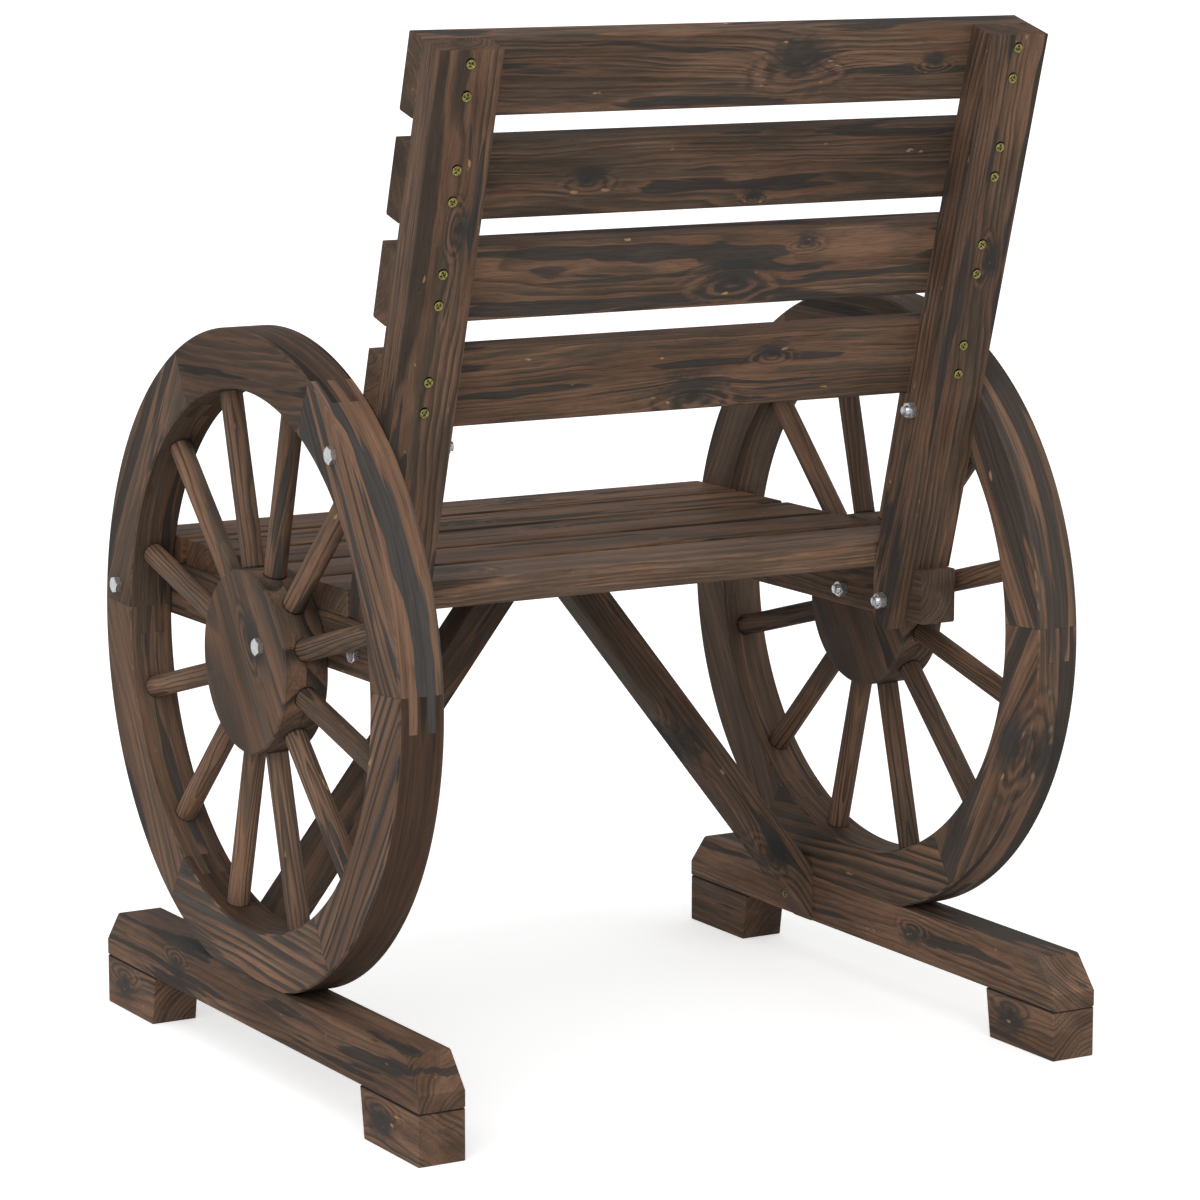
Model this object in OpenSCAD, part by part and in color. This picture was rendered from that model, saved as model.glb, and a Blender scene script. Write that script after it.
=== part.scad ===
// Wagon wheel armchair: two spoked wooden wheels stand on footed skids and carry a slatted seat.
// Frame: millimetres, +Z up, the seat opens towards -Y, the floor is Z = 0 and X = 0 is the middle.
// The wheels are bolted to the side rails and posts, so nothing turns or folds.

/* [Seat] */
// Distance between the two wheels, which is also the length of the seat boards and back slats
seat_w = 566; // [480:1:680]
// Height of the underside of the seat boards above the wheel centres
seat_over = 50; // [44:0.5:56]
// How far the seat's front edge lies behind the foremost points of the wheels
seat_in = 2; // [0:0.5:10]
// Width of each of the five seat boards
board_w = 70; // [66:0.5:73]
// Thickness of the seat boards
board_t = 23; // [16:0.5:32]
// Gap between neighbouring seat boards
board_gap = 8.7; // [5:0.1:12]

/* [Side rails] */
// Width of the rails that carry the seat boards
rail_w = 35; // [25:0.5:45]
// Height of the rails
rail_h = 47; // [42:0.5:52]
// How far the rails run on behind the seat boards
rail_over = 40.5; // [34:0.5:60]

/* [Back posts] */
// Width of the back posts, seen from behind
post_w = 56; // [46:0.5:70]
// Thickness of the posts behind the slats, square to their lean
post_d = 28.7; // [24:0.1:34]
// Front to back depth of the posts where they pass the seat
post_seat_d = 31.3; // [28:0.1:38]
// Lean of the posts from upright, in degrees
post_lean = 16; // [12:0.5:20]
// How far the posts step forward under the lowest slat
post_ledge = 9.1; // [4:0.1:12]
// Clearance between the rear seat board and the posts
post_play = 0.2; // [0.1:0.1:1]
// Depth below the seat boards at which the front of the posts turns upright
toe_turn = 6; // [2:0.5:12]
// Depth below the seat boards of the front corner of the posts' toe
toe_front = 40.7; // [36:0.1:46]
// Depth below the seat boards of the rear corner of the posts' toe
toe_back = 53; // [48:0.1:60]
// Height by which the posts' shoulder opens towards the front above the rail
shoulder_gap = 2; // [0:0.1:4]

/* [Back slats] */
// Open height between the seat boards and the lowest slat
back_open = 132.5; // [120:0.5:150]
// Width of the slats
slat_w = 64.5; // [56:0.5:74]
// Thickness of the slats
slat_t = 23; // [16:0.5:30]
// Gap above the lowest slat
slat_gap_low = 26; // [10:0.25:32]
// Gap above the two middle slats
slat_gap = 21.25; // [10:0.25:28]

/* [Wheels] */
// Outer radius of the wheels
wheel_r = 276; // [270:1:284]
// Thickness of the wheels, and of their hubs
wheel_t = 40; // [30:1:48]
// Radial width of the rim
rim_w = 50.4; // [46:0.2:58]
// How far the wheel centres lie in front of the middle of the skids
wheel_fwd = 12; // [4:0.5:20]
// Depth of the flat on which each wheel stands
wheel_flat = 9.5; // [5:0.5:14]
// Length of the finger joints between the rim segments, at the middle of the rim
finger_l = 27; // [16:0.5:34]
// Number of layers in which the fingers interlock
finger_n = 5; // [3:2:7]
// Radius of the hub discs
hub_r = 76.6; // [70:0.2:90]
// Number of spokes that end in each of the six rim segments
spokes_each = 2; // [1:1:2]
// Diameter of the spokes
spoke_d = 19; // [14:0.5:22]
// Depth of the spoke sockets in the rim
rim_socket = 15; // [8:0.5:18]
// Depth of the spoke sockets in the hub
hub_socket = 26.6; // [14:0.2:27]
// Clearance around a spoke in its sockets, and at its ends
socket_fit = 0.1; // [0.05:0.05:0.3]

/* [Skids and feet] */
// Length of the skids
skid_l = 588; // [584:1:640]
// Width of the skids and feet
skid_w = 42; // [34:0.5:54]
// Height of the skids
skid_h = 43; // [34:0.5:50]
// Length of the slope on each end of a skid
slope_l = 24.5; // [10:0.5:40]
// Height of the slope on each end of a skid
slope_h = 28.5; // [12:0.5:32]
// Height of the feet
foot_h = 43; // [36:0.5:50]
// Length of the feet on the floor
foot_l = 93; // [70:1:130]
// How much longer the feet are at the top, where their inner end slants
foot_slant = 6.7; // [0:0.1:15]

/* [Braces] */
// Width and thickness of the square braces
brace_t = 32; // [22:0.5:40]
// How far the braces stand in front of the middle of the centre seat board
brace_fwd = 3.7; // [0:0.1:12]
// Height of a brace's screw above the underside of its skid
brace_screw_up = 25; // [20:0.5:28]

/* [Bolts and screws] */
// Diameter of the bolts
bolt_d = 8; // [5:0.5:10]
// Width across the flats of the bolt heads and nuts
bolt_af = 13; // [11.5:0.5:15]
// Height of the bolt heads
head_h = 5.3; // [4:0.1:7]
// Height of the nuts
nut_h = 6.5; // [4:0.1:8]
// Length of bolt that stands out beyond its nut
bolt_out = 4; // [1:0.5:6]
// Clearance around a bolt in the timber
bolt_fit = 0.3; // [0.1:0.05:0.5]
// Clearance between a bolt and its nut
nut_fit = 0.1; // [0.05:0.05:0.2]
// Distance from the wheel's edge to the front rim bolt
front_bolt_in = 25; // [20:0.5:30]
// Height of the front rim bolt above the underside of the rail
front_bolt_up = 25.8; // [20:0.1:30]
// Distance from the wheel's edge to the rear rim bolt
rear_bolt_in = 21.6; // [18:0.1:28]
// How far the rear rim bolt lies behind the middle of the post
rear_bolt_off = 3; // [0:0.5:6]
// How far the hub bolt lies behind the centre of the wheel
hub_bolt_back = 31; // [24:0.5:32]
// Height of the hub bolt above the underside of the rail
hub_bolt_up = 14.7; // [12:0.1:17]
// Height of the post bolt above the underside of the rail
post_bolt_up = 19.5; // [17:0.1:24]
// Distance of the post bolt in front of the posts' rear face
post_bolt_in = 10; // [9:0.5:13]
// Diameter of the screw heads
screw_head_d = 8; // [6:0.2:10]
// Diameter of the screw shanks
screw_d = 4; // [3:0.2:5]
// Length of the slat screws
screw_l = 40; // [36:1:46]
// Length of the brace screws
brace_screw_l = 45; // [32:1:50]
// Height of a pair of slat screws above the middle of its slat
screw_off = 9; // [0:0.5:12]
// Distance between the two screws of a pair
screw_pair = 26; // [12:0.5:30]
// Clearance around a screw in the timber
screw_fit = 0.1; // [0.05:0.05:0.2]

/* [Edges] */
// Radius of the eased long edges of the straight timbers
ease = 2; // [0.5:0.1:4]
// Width of the small bevel on the edges of the rim and hub
bevel = 1.5; // [0.5:0.1:3]

/* [Hidden] */
$fn = 64;
wood = [0.35, 0.27, 0.22];
dark_wood = [0.28, 0.22, 0.19];
steel = [0.78, 0.79, 0.8];
olive_brass = [0.5, 0.47, 0.28];
board_n = 5;
felloe_n = 6;
felloe_turn = 360 / felloe_n;
cut = 1;
side_x = seat_w / 2;
wheel_out = side_x + wheel_t;
skid_top = foot_h + skid_h;
wheel_y = -wheel_fwd;
wheel_z = skid_top + wheel_r - wheel_flat;
rim_in = wheel_r - rim_w;
rim_mid = wheel_r - rim_w / 2;
finger_turn = finger_l / rim_mid * 180 / PI;
layer_t = wheel_t / finger_n;
spoke_n = felloe_n * spokes_each;
spoke_turn = 360 / spoke_n;
seat_front = wheel_y - wheel_r + seat_in;
seat_z = wheel_z + seat_over;
seat_back = seat_front + board_n * board_w + (board_n - 1) * board_gap;
seat_mid = (seat_front + seat_back) / 2;
rail_x = side_x - rail_w;
rail_z = seat_z - rail_h;
post_x = side_x - post_w;
post_y = seat_back + post_play;
ledge_z = seat_z + board_t + back_open;
rear_slope = tan(post_lean);
upper_y = post_rear(ledge_z) - post_d / cos(post_lean);
front_slope = (upper_y - post_ledge - post_y) / (ledge_z - seat_z);
slat_gaps = [slat_gap_low, slat_gap, slat_gap];
back_l = slat_low(3) + slat_w;
brace_y = seat_mid - brace_fwd;
brace_angle = atan2(seat_z - foot_h, side_x);
brace_screw_x = side_x - brace_screw_up / tan(brace_angle);
front_bolt_z = rail_z + front_bolt_up;
front_bolt_y = wheel_y - sqrt(pow(wheel_r - front_bolt_in, 2) - pow(front_bolt_z - wheel_z, 2));
rear_line_y = post_y + post_seat_d / 2 + rear_bolt_off;
rear_line_slope = (rear_slope + front_slope) / 2;
front_bolt = [front_bolt_y, front_bolt_z];
rear_bolt = on_line(rear_bolt_rise());
hub_bolt = [wheel_y + hub_bolt_back, rail_z + hub_bolt_up];
post_bolt = [post_rear(rail_z + post_bolt_up) - post_bolt_in, rail_z + post_bolt_up];

// Position of the posts' rear face at a height
function post_rear(z) = post_y + post_seat_d + (z - seat_z) * rear_slope;

// Position of the lower front face of the posts at a height
function post_front(z) = post_y + (z - seat_z) * front_slope;

// Lower edge of a slat, along the lean, above the edge of the lowest slat
function slat_low(i) = i == 0 ? 0 : slat_low(i - 1) + slat_w + slat_gaps[i - 1];

// A point on the line that runs up the posts through the rear rim bolt
function on_line(u) = [rear_line_y + u * rear_line_slope, seat_z + u];

// Height above the seat boards at which that line meets the circle of the rear rim bolt
function rear_bolt_rise() =
    let (a = 1 + pow(rear_line_slope, 2))
    let (dy = rear_line_y - wheel_y)
    let (dz = seat_z - wheel_z)
    let (b = rear_line_slope * dy + dz)
    let (c = dy * dy + dz * dz - pow(wheel_r - rear_bolt_in, 2))
    (sqrt(b * b - a * c) - b) / a;

// Turn of a rim seam in the outermost layer, which leads towards the top of the wheel
function seam_turn(a) = (cos(a) > 0 ? 1 : -1) * finger_turn / 2;

// Helpers

// Cross-section of a planed timber with eased corners
module section(w, h) {
    translate([ease, 0])
        square([w - 2 * ease, h]);
    translate([0, ease])
        square([w, h - 2 * ease]);
    for (x = [ease, w - ease]) {
        for (y = [ease, h - ease]) {
            translate([x, y])
                circle(r = ease);
        }
    }
}

// Timber that runs along X, with a size across of d in Y and h in Z
module bar_x(corner, l, d, h) {
    translate(corner)
        rotate([90, 0, 90])
            linear_extrude(l)
                section(d, h);
}

// Timber that runs along Y, with a size across of w in X and h in Z
module bar_y(corner, l, w, h) {
    translate([corner[0], corner[1] + l, corner[2]])
        rotate([90, 0, 0])
            linear_extrude(l)
                section(w, h);
}

// Outline in the Y and Z plane, drawn out along X
module side_profile(x, w, points) {
    translate([x, 0, 0])
        rotate([90, 0, 90])
            linear_extrude(w)
                polygon(points);
}

// The right side is the left side seen in a mirror
module side(s) {
    if (s == "left") {
        children();
    } else {
        mirror([1, 0, 0])
            children();
    }
}

// Wheel frame: the axle lies along local Z, the inner face is local Z = 0
module wheel_frame() {
    translate([side_x, wheel_y, wheel_z])
        rotate([90, 0, 90])
            children();
}

// Back frame: local Z runs up the lean and the slats' rear faces are local Y = 0
module back_frame() {
    translate([0, upper_y, ledge_z])
        rotate([-post_lean, 0, 0])
            children();
}

// Straight hole for a bolt along X
module bolt_hole(at) {
    translate([post_x - cut, at[0], at[1]])
        rotate([0, 90, 0])
            cylinder(r = bolt_d / 2 + bolt_fit, h = wheel_out - post_x + 2 * cut);
}

// The rounds of a radial rod on the middle plane of the wheel
module radial_rod(a, from, to, r) {
    rotate([0, 0, a])
        translate([from, 0, wheel_t / 2])
            rotate([0, 90, 0])
                cylinder(r = r, h = to - from);
}

// Hexagon with its corners turned off on the free face at z = h
module hexagon(h) {
    af = bolt_af;
    corner = af / cos(30) / 2;
    intersection() {
        cylinder(r = corner, h = h, $fn = 6);
        rotate_extrude()
            polygon([[0, 0], [corner + cut, 0], [corner + cut, h - 1], [corner - 0.7, h], [0, h]]);
    }
}

// Bolt along X: its head bears on a face at x and the timber it clamps is grip thick
module bolt(x, at, grip) {
    translate([x, at[0], at[1]])
        rotate([0, 90, 0]) {
            hexagon(head_h);
            translate([0, 0, -grip - nut_h - bolt_out])
                cylinder(d = bolt_d, h = grip + nut_h + bolt_out);
        }
}

// Nut that bears on the inner face at x
module nut(x, at) {
    translate([x, at[0], at[1]])
        rotate([0, -90, 0])
            difference() {
                hexagon(nut_h);
                translate([0, 0, -cut])
                    cylinder(r = bolt_d / 2 + nut_fit, h = nut_h + 2 * cut);
            }
}

// Round shape of a countersunk screw from its head at z = 0 to its point at z = l
module screw_round(l, gap, above) {
    r = screw_d / 2 + gap;
    head_r = screw_head_d / 2 + gap;
    rotate_extrude()
        polygon([
            [0, -above],
            [head_r, -above],
            [head_r, 0.6],
            [r, 0.6 + head_r - r],
            [r, l - screw_d],
            [0, l + gap]
        ]);
}

// Countersunk screw with a cross recess
module screw(l) {
    slot_w = screw_head_d / 6;
    slot_l = screw_head_d * 0.62;
    difference() {
        screw_round(l, 0, 0);
        for (a = [0, 90]) {
            rotate([0, 0, a])
                translate([-slot_l / 2, -slot_w / 2, -cut])
                    cube([slot_l, slot_w, cut + screw_head_d / 5]);
        }
    }
}

// Puts a screw or its hole at each place where a slat is fixed to a post, on the left side
module at_slat_screws() {
    back_frame()
        for (i = [0 : 3]) {
            for (d = [-0.5, 0.5]) {
                mid = slat_low(i) + slat_w / 2 + screw_off;
                translate([side_x - post_w / 2, post_d, mid + d * screw_pair])
                    rotate([90, 0, 0])
                        children();
            }
        }
}

// Puts a screw or its hole at the lower end of the left brace, pointing out into the skid
module at_brace_screw() {
    translate([brace_screw_x, brace_y, foot_h + brace_screw_up])
        rotate([0, 90, 0])
            children();
}

// Wheels

// One rim segment: a sector of the ring whose ends interlock with its neighbours in layers
module felloe(s, i) {
    a = (i - 1) * felloe_turn;
    b = i * felloe_turn;
    side(s)
        color(wood)
            difference() {
                wheel_frame()
                    difference() {
                        intersection() {
                            ring();
                            for (n = [0 : finger_n - 1]) {
                                lead = n % 2 == 0 ? 1 : -1;
                                translate([0, 0, n * layer_t])
                                    linear_extrude(layer_t)
                                        wedge(a + lead * seam_turn(a), b + lead * seam_turn(b));
                            }
                        }
                        for (j = [0 : spokes_each - 1]) {
                            radial_rod(a + (j + 0.5) * spoke_turn, rim_in - rim_socket,
                                rim_in + rim_socket, spoke_d / 2 + socket_fit);
                        }
                    }
                bolt_hole(rear_bolt);
                bolt_hole(front_bolt);
                if (i == 5) {
                    translate([side_x - cut, wheel_y - wheel_r, 0])
                        cube([wheel_t + 2 * cut, 2 * wheel_r, skid_top]);
                }
            }
}

// The whole rim as one ring, with bevelled edges
module ring() {
    rotate_extrude($fn = 128)
        polygon([
            [rim_in + bevel, 0],
            [wheel_r - bevel, 0],
            [wheel_r, bevel],
            [wheel_r, wheel_t - bevel],
            [wheel_r - bevel, wheel_t],
            [rim_in + bevel, wheel_t],
            [rim_in, wheel_t - bevel],
            [rim_in, bevel]
        ]);
}

// Flat sector between two angles that reaches past the rim
module wedge(from, to) {
    reach = wheel_r * 1.3;
    half = (from + to) / 2;
    polygon([
        [0, 0],
        [reach * cos(from), reach * sin(from)],
        [reach * cos(half), reach * sin(half)],
        [reach * cos(to), reach * sin(to)]
    ]);
}

// Half of the hub: a disc with half-round grooves in which the spokes lie
module hub_disc(s, outer) {
    t = wheel_t / 2;
    side(s)
        color(dark_wood)
            difference() {
                wheel_frame()
                    difference() {
                        translate([0, 0, t])
                            mirror([0, 0, outer ? 0 : 1])
                                rotate_extrude()
                                    polygon([[0, 0], [hub_r, 0], [hub_r, t - bevel], [hub_r - bevel, t], [0, t]]);
                        for (j = [0 : spoke_n - 1]) {
                            radial_rod((j + 0.5) * spoke_turn, hub_r - hub_socket, hub_r + cut,
                                spoke_d / 2 + socket_fit);
                        }
                    }
                bolt_hole(hub_bolt);
            }
}

// The spokes of one wheel, each a turned rod from the hub to the rim
module spokes(s) {
    side(s)
        color(wood)
            wheel_frame()
                for (j = [0 : spoke_n - 1]) {
                    radial_rod((j + 0.5) * spoke_turn, hub_r - hub_socket + socket_fit,
                        rim_in + rim_socket - socket_fit, spoke_d / 2);
                }
}

// Skids and feet

// Skid on which a wheel stands, its upper ends sloped off
module skid(s) {
    end = skid_l / 2;
    side(s)
        color(wood)
            difference() {
                intersection() {
                    bar_y([side_x, -end, foot_h], skid_l, skid_w, skid_h);
                    side_profile(side_x - cut, skid_w + 2 * cut, [
                        [-end, foot_h - cut],
                        [end, foot_h - cut],
                        [end, skid_top - slope_h],
                        [end - slope_l, skid_top],
                        [end - slope_l, skid_top + cut],
                        [slope_l - end, skid_top + cut],
                        [slope_l - end, skid_top],
                        [-end, skid_top - slope_h]
                    ]);
                }
                at_brace_screw()
                    screw_round(brace_screw_l, screw_fit, 0);
            }
}

// Block under each end of a skid, its inner end slanted
module foot(s, d) {
    end = skid_l / 2;
    side(s)
        color(dark_wood)
            side_profile(side_x, skid_w, [
                [d * end, 0],
                [d * (end - foot_l), 0],
                [d * (end - foot_l - foot_slant), foot_h],
                [d * end, foot_h]
            ]);
}

// Seat

// Rail bolted inside a wheel, on which the seat boards lie
module rail(s) {
    side(s)
        color(wood)
            difference() {
                bar_y([rail_x, seat_front, rail_z], seat_back - seat_front + rail_over, rail_w, rail_h);
                bolt_hole(front_bolt);
                bolt_hole(hub_bolt);
                bolt_hole(post_bolt);
            }
}

// Seat boards, numbered from the front
module seat_board(i) {
    y = seat_front + (i - 1) * (board_w + board_gap);
    color(wood)
        bar_x([-side_x, y, seat_z], seat_w, board_w, board_t);
}

// Brace from the foot of a skid up to the middle of the seat
module brace(s) {
    tall = seat_z - foot_h;
    side(s)
        color(wood)
            difference() {
                intersection() {
                    translate([side_x, brace_y - brace_t / 2, foot_h])
                        rotate([0, brace_angle - 180, 0])
                            translate([-brace_t, 0, 0])
                                bar_x([0, 0, -brace_t], tall + side_x, brace_t, brace_t);
                    translate([0, brace_y - brace_t, foot_h - cut])
                        cube([side_x, 2 * brace_t, tall + cut]);
                }
                at_brace_screw()
                    screw_round(brace_screw_l, screw_fit, brace_t);
            }
}

// Back

// Back post: it leans behind the slats, notches over the rail and ends in a toe beside it
module post(s) {
    foot_z = seat_z - toe_back;
    toe_y = post_front(seat_z - toe_turn);
    top = [upper_y + back_l * sin(post_lean), ledge_z + back_l * cos(post_lean)];
    rise = shoulder_gap / post_seat_d;
    side(s)
        color(wood)
            difference() {
                side_profile(post_x, post_w, [
                    [post_rear(foot_z), foot_z],
                    [toe_y, seat_z - toe_front],
                    [toe_y, seat_z - toe_turn],
                    [upper_y - post_ledge, ledge_z],
                    [upper_y, ledge_z],
                    top,
                    [top[0] + post_d * cos(post_lean), top[1] - post_d * sin(post_lean)]
                ]);
                side_profile(rail_x, rail_w + cut, [
                    [toe_y - post_d, foot_z - cut],
                    [post_rear(seat_z) + post_d, foot_z - cut],
                    [post_rear(seat_z) + post_d, seat_z],
                    [post_rear(seat_z), seat_z],
                    [toe_y - post_d, seat_z + rise * (post_rear(seat_z) - toe_y + post_d)]
                ]);
                bolt_hole(rear_bolt);
                bolt_hole(post_bolt);
                at_slat_screws()
                    screw_round(screw_l, screw_fit, cut);
            }
}

// Back slats, numbered from the lowest
module back_slat(i) {
    color(wood)
        difference() {
            back_frame()
                bar_x([-side_x, -slat_t, slat_low(i - 1)], seat_w, slat_t, slat_w);
            for (s = ["left", "right"]) {
                side(s)
                    at_slat_screws()
                        screw_round(screw_l, screw_fit, 0);
            }
        }
}

// Fasteners, each kind on both sides of the chair

module both_sides() {
    children();
    mirror([1, 0, 0])
        children();
}

// The bolts through the rims into the rails and posts
module rim_bolts() {
    color(steel)
        both_sides() {
            bolt(wheel_out, front_bolt, wheel_t + rail_w);
            bolt(wheel_out, rear_bolt, wheel_t + post_w);
        }
}

// The bolts through the hubs into the rails
module hub_bolts() {
    color(steel)
        both_sides()
            bolt(wheel_out, hub_bolt, wheel_t + rail_w);
}

// The bolts through the rails into the toes of the posts
module post_bolts() {
    color(steel)
        both_sides()
            bolt(side_x, post_bolt, post_w);
}

// The nuts on the inner ends of all the bolts
module nuts() {
    color(steel)
        both_sides() {
            nut(rail_x, front_bolt);
            nut(post_x, rear_bolt);
            nut(rail_x, hub_bolt);
            nut(post_x, post_bolt);
        }
}

// The screws that hold the slats to the posts
module slat_screws() {
    color(olive_brass)
        both_sides()
            at_slat_screws()
                screw(screw_l);
}

// The screws that hold the braces to the skids
module brace_screws() {
    color(olive_brass)
        both_sides()
            at_brace_screw()
                screw(brace_screw_l);
}

felloe("left", 1);  // left_felloe_1
felloe("left", 2);  // left_felloe_2
felloe("left", 3);  // left_felloe_3
felloe("left", 4);  // left_felloe_4
felloe("left", 5);  // left_felloe_5
felloe("left", 6);  // left_felloe_6
felloe("right", 1);  // right_felloe_1
felloe("right", 2);  // right_felloe_2
felloe("right", 3);  // right_felloe_3
felloe("right", 4);  // right_felloe_4
felloe("right", 5);  // right_felloe_5
felloe("right", 6);  // right_felloe_6
hub_disc("left", true);  // left_outer_hub_disc
hub_disc("left", false);  // left_inner_hub_disc
hub_disc("right", true);  // right_outer_hub_disc
hub_disc("right", false);  // right_inner_hub_disc
spokes("left");  // left_spokes
spokes("right");  // right_spokes
skid("left");  // left_skid
skid("right");  // right_skid
foot("left", -1);  // left_front_foot
foot("right", -1);  // right_front_foot
foot("left", 1);  // left_rear_foot
foot("right", 1);  // right_rear_foot
rail("left");  // left_rail
rail("right");  // right_rail
post("left");  // left_post
post("right");  // right_post
brace("left");  // left_brace
brace("right");  // right_brace
seat_board(1);  // seat_board_1
seat_board(2);  // seat_board_2
seat_board(3);  // seat_board_3
seat_board(4);  // seat_board_4
seat_board(5);  // seat_board_5
back_slat(1);  // back_slat_1
back_slat(2);  // back_slat_2
back_slat(3);  // back_slat_3
back_slat(4);  // back_slat_4
rim_bolts();
hub_bolts();
post_bolts();
nuts();
slat_screws();
brace_screws();
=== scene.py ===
"""Wagon wheel chair: scorched fir timbers, spoked wheels, bolts and screws, and the studio round them."""
import math
import random

import bmesh
import bpy
from bpy.props import FloatProperty, FloatVectorProperty, IntProperty, PointerProperty
from mathutils import Matrix, Vector


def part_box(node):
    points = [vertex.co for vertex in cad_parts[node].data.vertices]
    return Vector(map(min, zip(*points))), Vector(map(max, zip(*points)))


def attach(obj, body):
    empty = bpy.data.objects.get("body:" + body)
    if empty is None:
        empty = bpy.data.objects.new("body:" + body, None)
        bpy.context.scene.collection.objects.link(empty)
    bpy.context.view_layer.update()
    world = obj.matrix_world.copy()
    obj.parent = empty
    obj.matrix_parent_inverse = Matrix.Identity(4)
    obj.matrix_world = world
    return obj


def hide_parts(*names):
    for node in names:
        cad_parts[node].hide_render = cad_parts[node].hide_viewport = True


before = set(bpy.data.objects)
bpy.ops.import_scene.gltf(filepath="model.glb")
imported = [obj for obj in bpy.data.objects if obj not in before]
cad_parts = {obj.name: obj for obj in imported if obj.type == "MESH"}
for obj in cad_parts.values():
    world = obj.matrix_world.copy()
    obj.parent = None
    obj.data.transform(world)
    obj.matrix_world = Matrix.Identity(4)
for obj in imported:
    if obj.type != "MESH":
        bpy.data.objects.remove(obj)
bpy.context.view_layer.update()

bl_info = {
    "name": "Wagon Wheel Chair",
    "version": (1, 0, 0),
    "blender": (4, 5, 0),
    "location": "3D View > Sidebar > Chair",
    "description": "Dresses a wagon wheel chair in scorched fir, bright bolts and brass screws",
    "category": "Object",
}

SIDES = (("left", 1.0), ("right", -1.0))

# Sizes that the pieces take from the frame
RIM_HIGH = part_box("left_felloe_2")
FELLOE_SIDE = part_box("left_felloe_1")
HUB_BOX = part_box("left_outer_hub_disc")
SPOKE_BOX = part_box("left_spokes")
WHEEL_X = (FELLOE_SIDE[0][0] + FELLOE_SIDE[1][0]) / 2
WHEEL_T = FELLOE_SIDE[1][0] - FELLOE_SIDE[0][0]
HUB_R = (HUB_BOX[1][2] - HUB_BOX[0][2]) / 2
WHEEL_Y = (HUB_BOX[0][1] + HUB_BOX[1][1]) / 2
WHEEL_Z = (HUB_BOX[0][2] + HUB_BOX[1][2]) / 2
WHEEL_R = RIM_HIGH[1][2] - WHEEL_Z
SPOKE_D = SPOKE_BOX[1][0] - SPOKE_BOX[0][0]

# Sizes that the frame can't tell: radii of the rim's inner side and of the spokes' ends, the lean of
# the back, the bolts and the screws
RIM_INNER = 0.2256
SPOKE_START = 0.0501
SPOKE_END = 0.2409
LEAN = math.radians(16)
UP_BACK = Vector((0, math.sin(LEAN), math.cos(LEAN)))
OUT_BACK = Vector((0, math.cos(LEAN), -math.sin(LEAN)))
SHANK_R = 0.004
HEAD_H = 0.0053
NUT_H = 0.0065
BOLT_TAIL = 0.004
SLAT_SCREW = 0.040
BRACE_SCREW = 0.045

# Radii of the eased edges of boards and slats, of rails and braces, and of the wheels
BOARD_EDGE = 0.0010
FRAME_EDGE = 0.0008
WHEEL_EDGE = 0.0007

# Colour of the painted shade in the seams where timbers meet, and knots by place along, place across
# and size in millimetres
SEAM_SHADE_COLOUR = (0.012, 0.010, 0.009, 1)
NO_KNOT = (0.0, 0.0, 0.0)
FOOT_KNOT = (-10.0, 5.0, 4.0)


class ChairFinish(bpy.types.PropertyGroup):
    """Colours and surface of the scorched fir"""

    brown: FloatVectorProperty(
        name="Brown", description="Colour of the plain brushed wood", subtype="COLOR",
        size=4, min=0, max=1, default=(0.116, 0.0800, 0.0560, 1))
    warm: FloatVectorProperty(
        name="Warm", description="Colour of the orange-brown streaks", subtype="COLOR",
        size=4, min=0, max=1, default=(0.205, 0.1130, 0.0700, 1))
    line: FloatVectorProperty(
        name="Growth line", description="Colour of the dark growth lines", subtype="COLOR",
        size=4, min=0, max=1, default=(0.047, 0.0355, 0.0275, 1))
    char: FloatVectorProperty(
        name="Charcoal", description="Colour of the scorched streaks", subtype="COLOR",
        size=4, min=0, max=1, default=(0.0370, 0.0388, 0.0380, 1))
    fleck: FloatVectorProperty(
        name="Knot fleck", description="Colour of the pale flecks beside the knots", subtype="COLOR",
        size=4, min=0, max=1, default=(0.50, 0.29, 0.135, 1))
    edge: FloatProperty(
        name="Eased edge", description="Radius of the softened edges of the timbers",
        default=0.0012, min=0.0002, max=0.004, unit="LENGTH", precision=4)
    relief: FloatProperty(
        name="Relief", description="Depth of the brushed grain",
        default=0.0005, min=0, max=0.002, unit="LENGTH", precision=4)


class ChairSpokes(bpy.types.PropertyGroup):
    """The turned spokes of the wheels"""

    count: IntProperty(name="Spokes", description="Spokes in each wheel", default=12, min=6, max=24)
    diameter: FloatProperty(
        name="Diameter", description="Diameter of a spoke", default=SPOKE_D, min=0.01, max=0.03,
        unit="LENGTH", precision=4)
    bow: FloatProperty(
        name="Unevenness", description="How far a spoke's surface wanders from a true rod",
        default=0.0003, min=0, max=0.002, unit="LENGTH", precision=4)


class ChairFasteners(bpy.types.PropertyGroup):
    """Bolts, nuts and screws"""

    flats: FloatProperty(
        name="Across flats", description="Width of the bolt heads and nuts across their flats",
        default=0.013, min=0.008, max=0.02, unit="LENGTH", precision=4)
    pitch: FloatProperty(
        name="Thread pitch", description="Rise of the bolt thread in one turn",
        default=0.00125, min=0.0005, max=0.003, unit="LENGTH", precision=5)
    zinc: FloatVectorProperty(
        name="Zinc", description="Colour of the bright bolts and nuts", subtype="COLOR",
        size=4, min=0, max=1, default=(0.74, 0.76, 0.78, 1))
    brass: FloatVectorProperty(
        name="Yellow zinc", description="Colour of the screws", subtype="COLOR",
        size=4, min=0, max=1, default=(0.33, 0.30, 0.105, 1))


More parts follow.
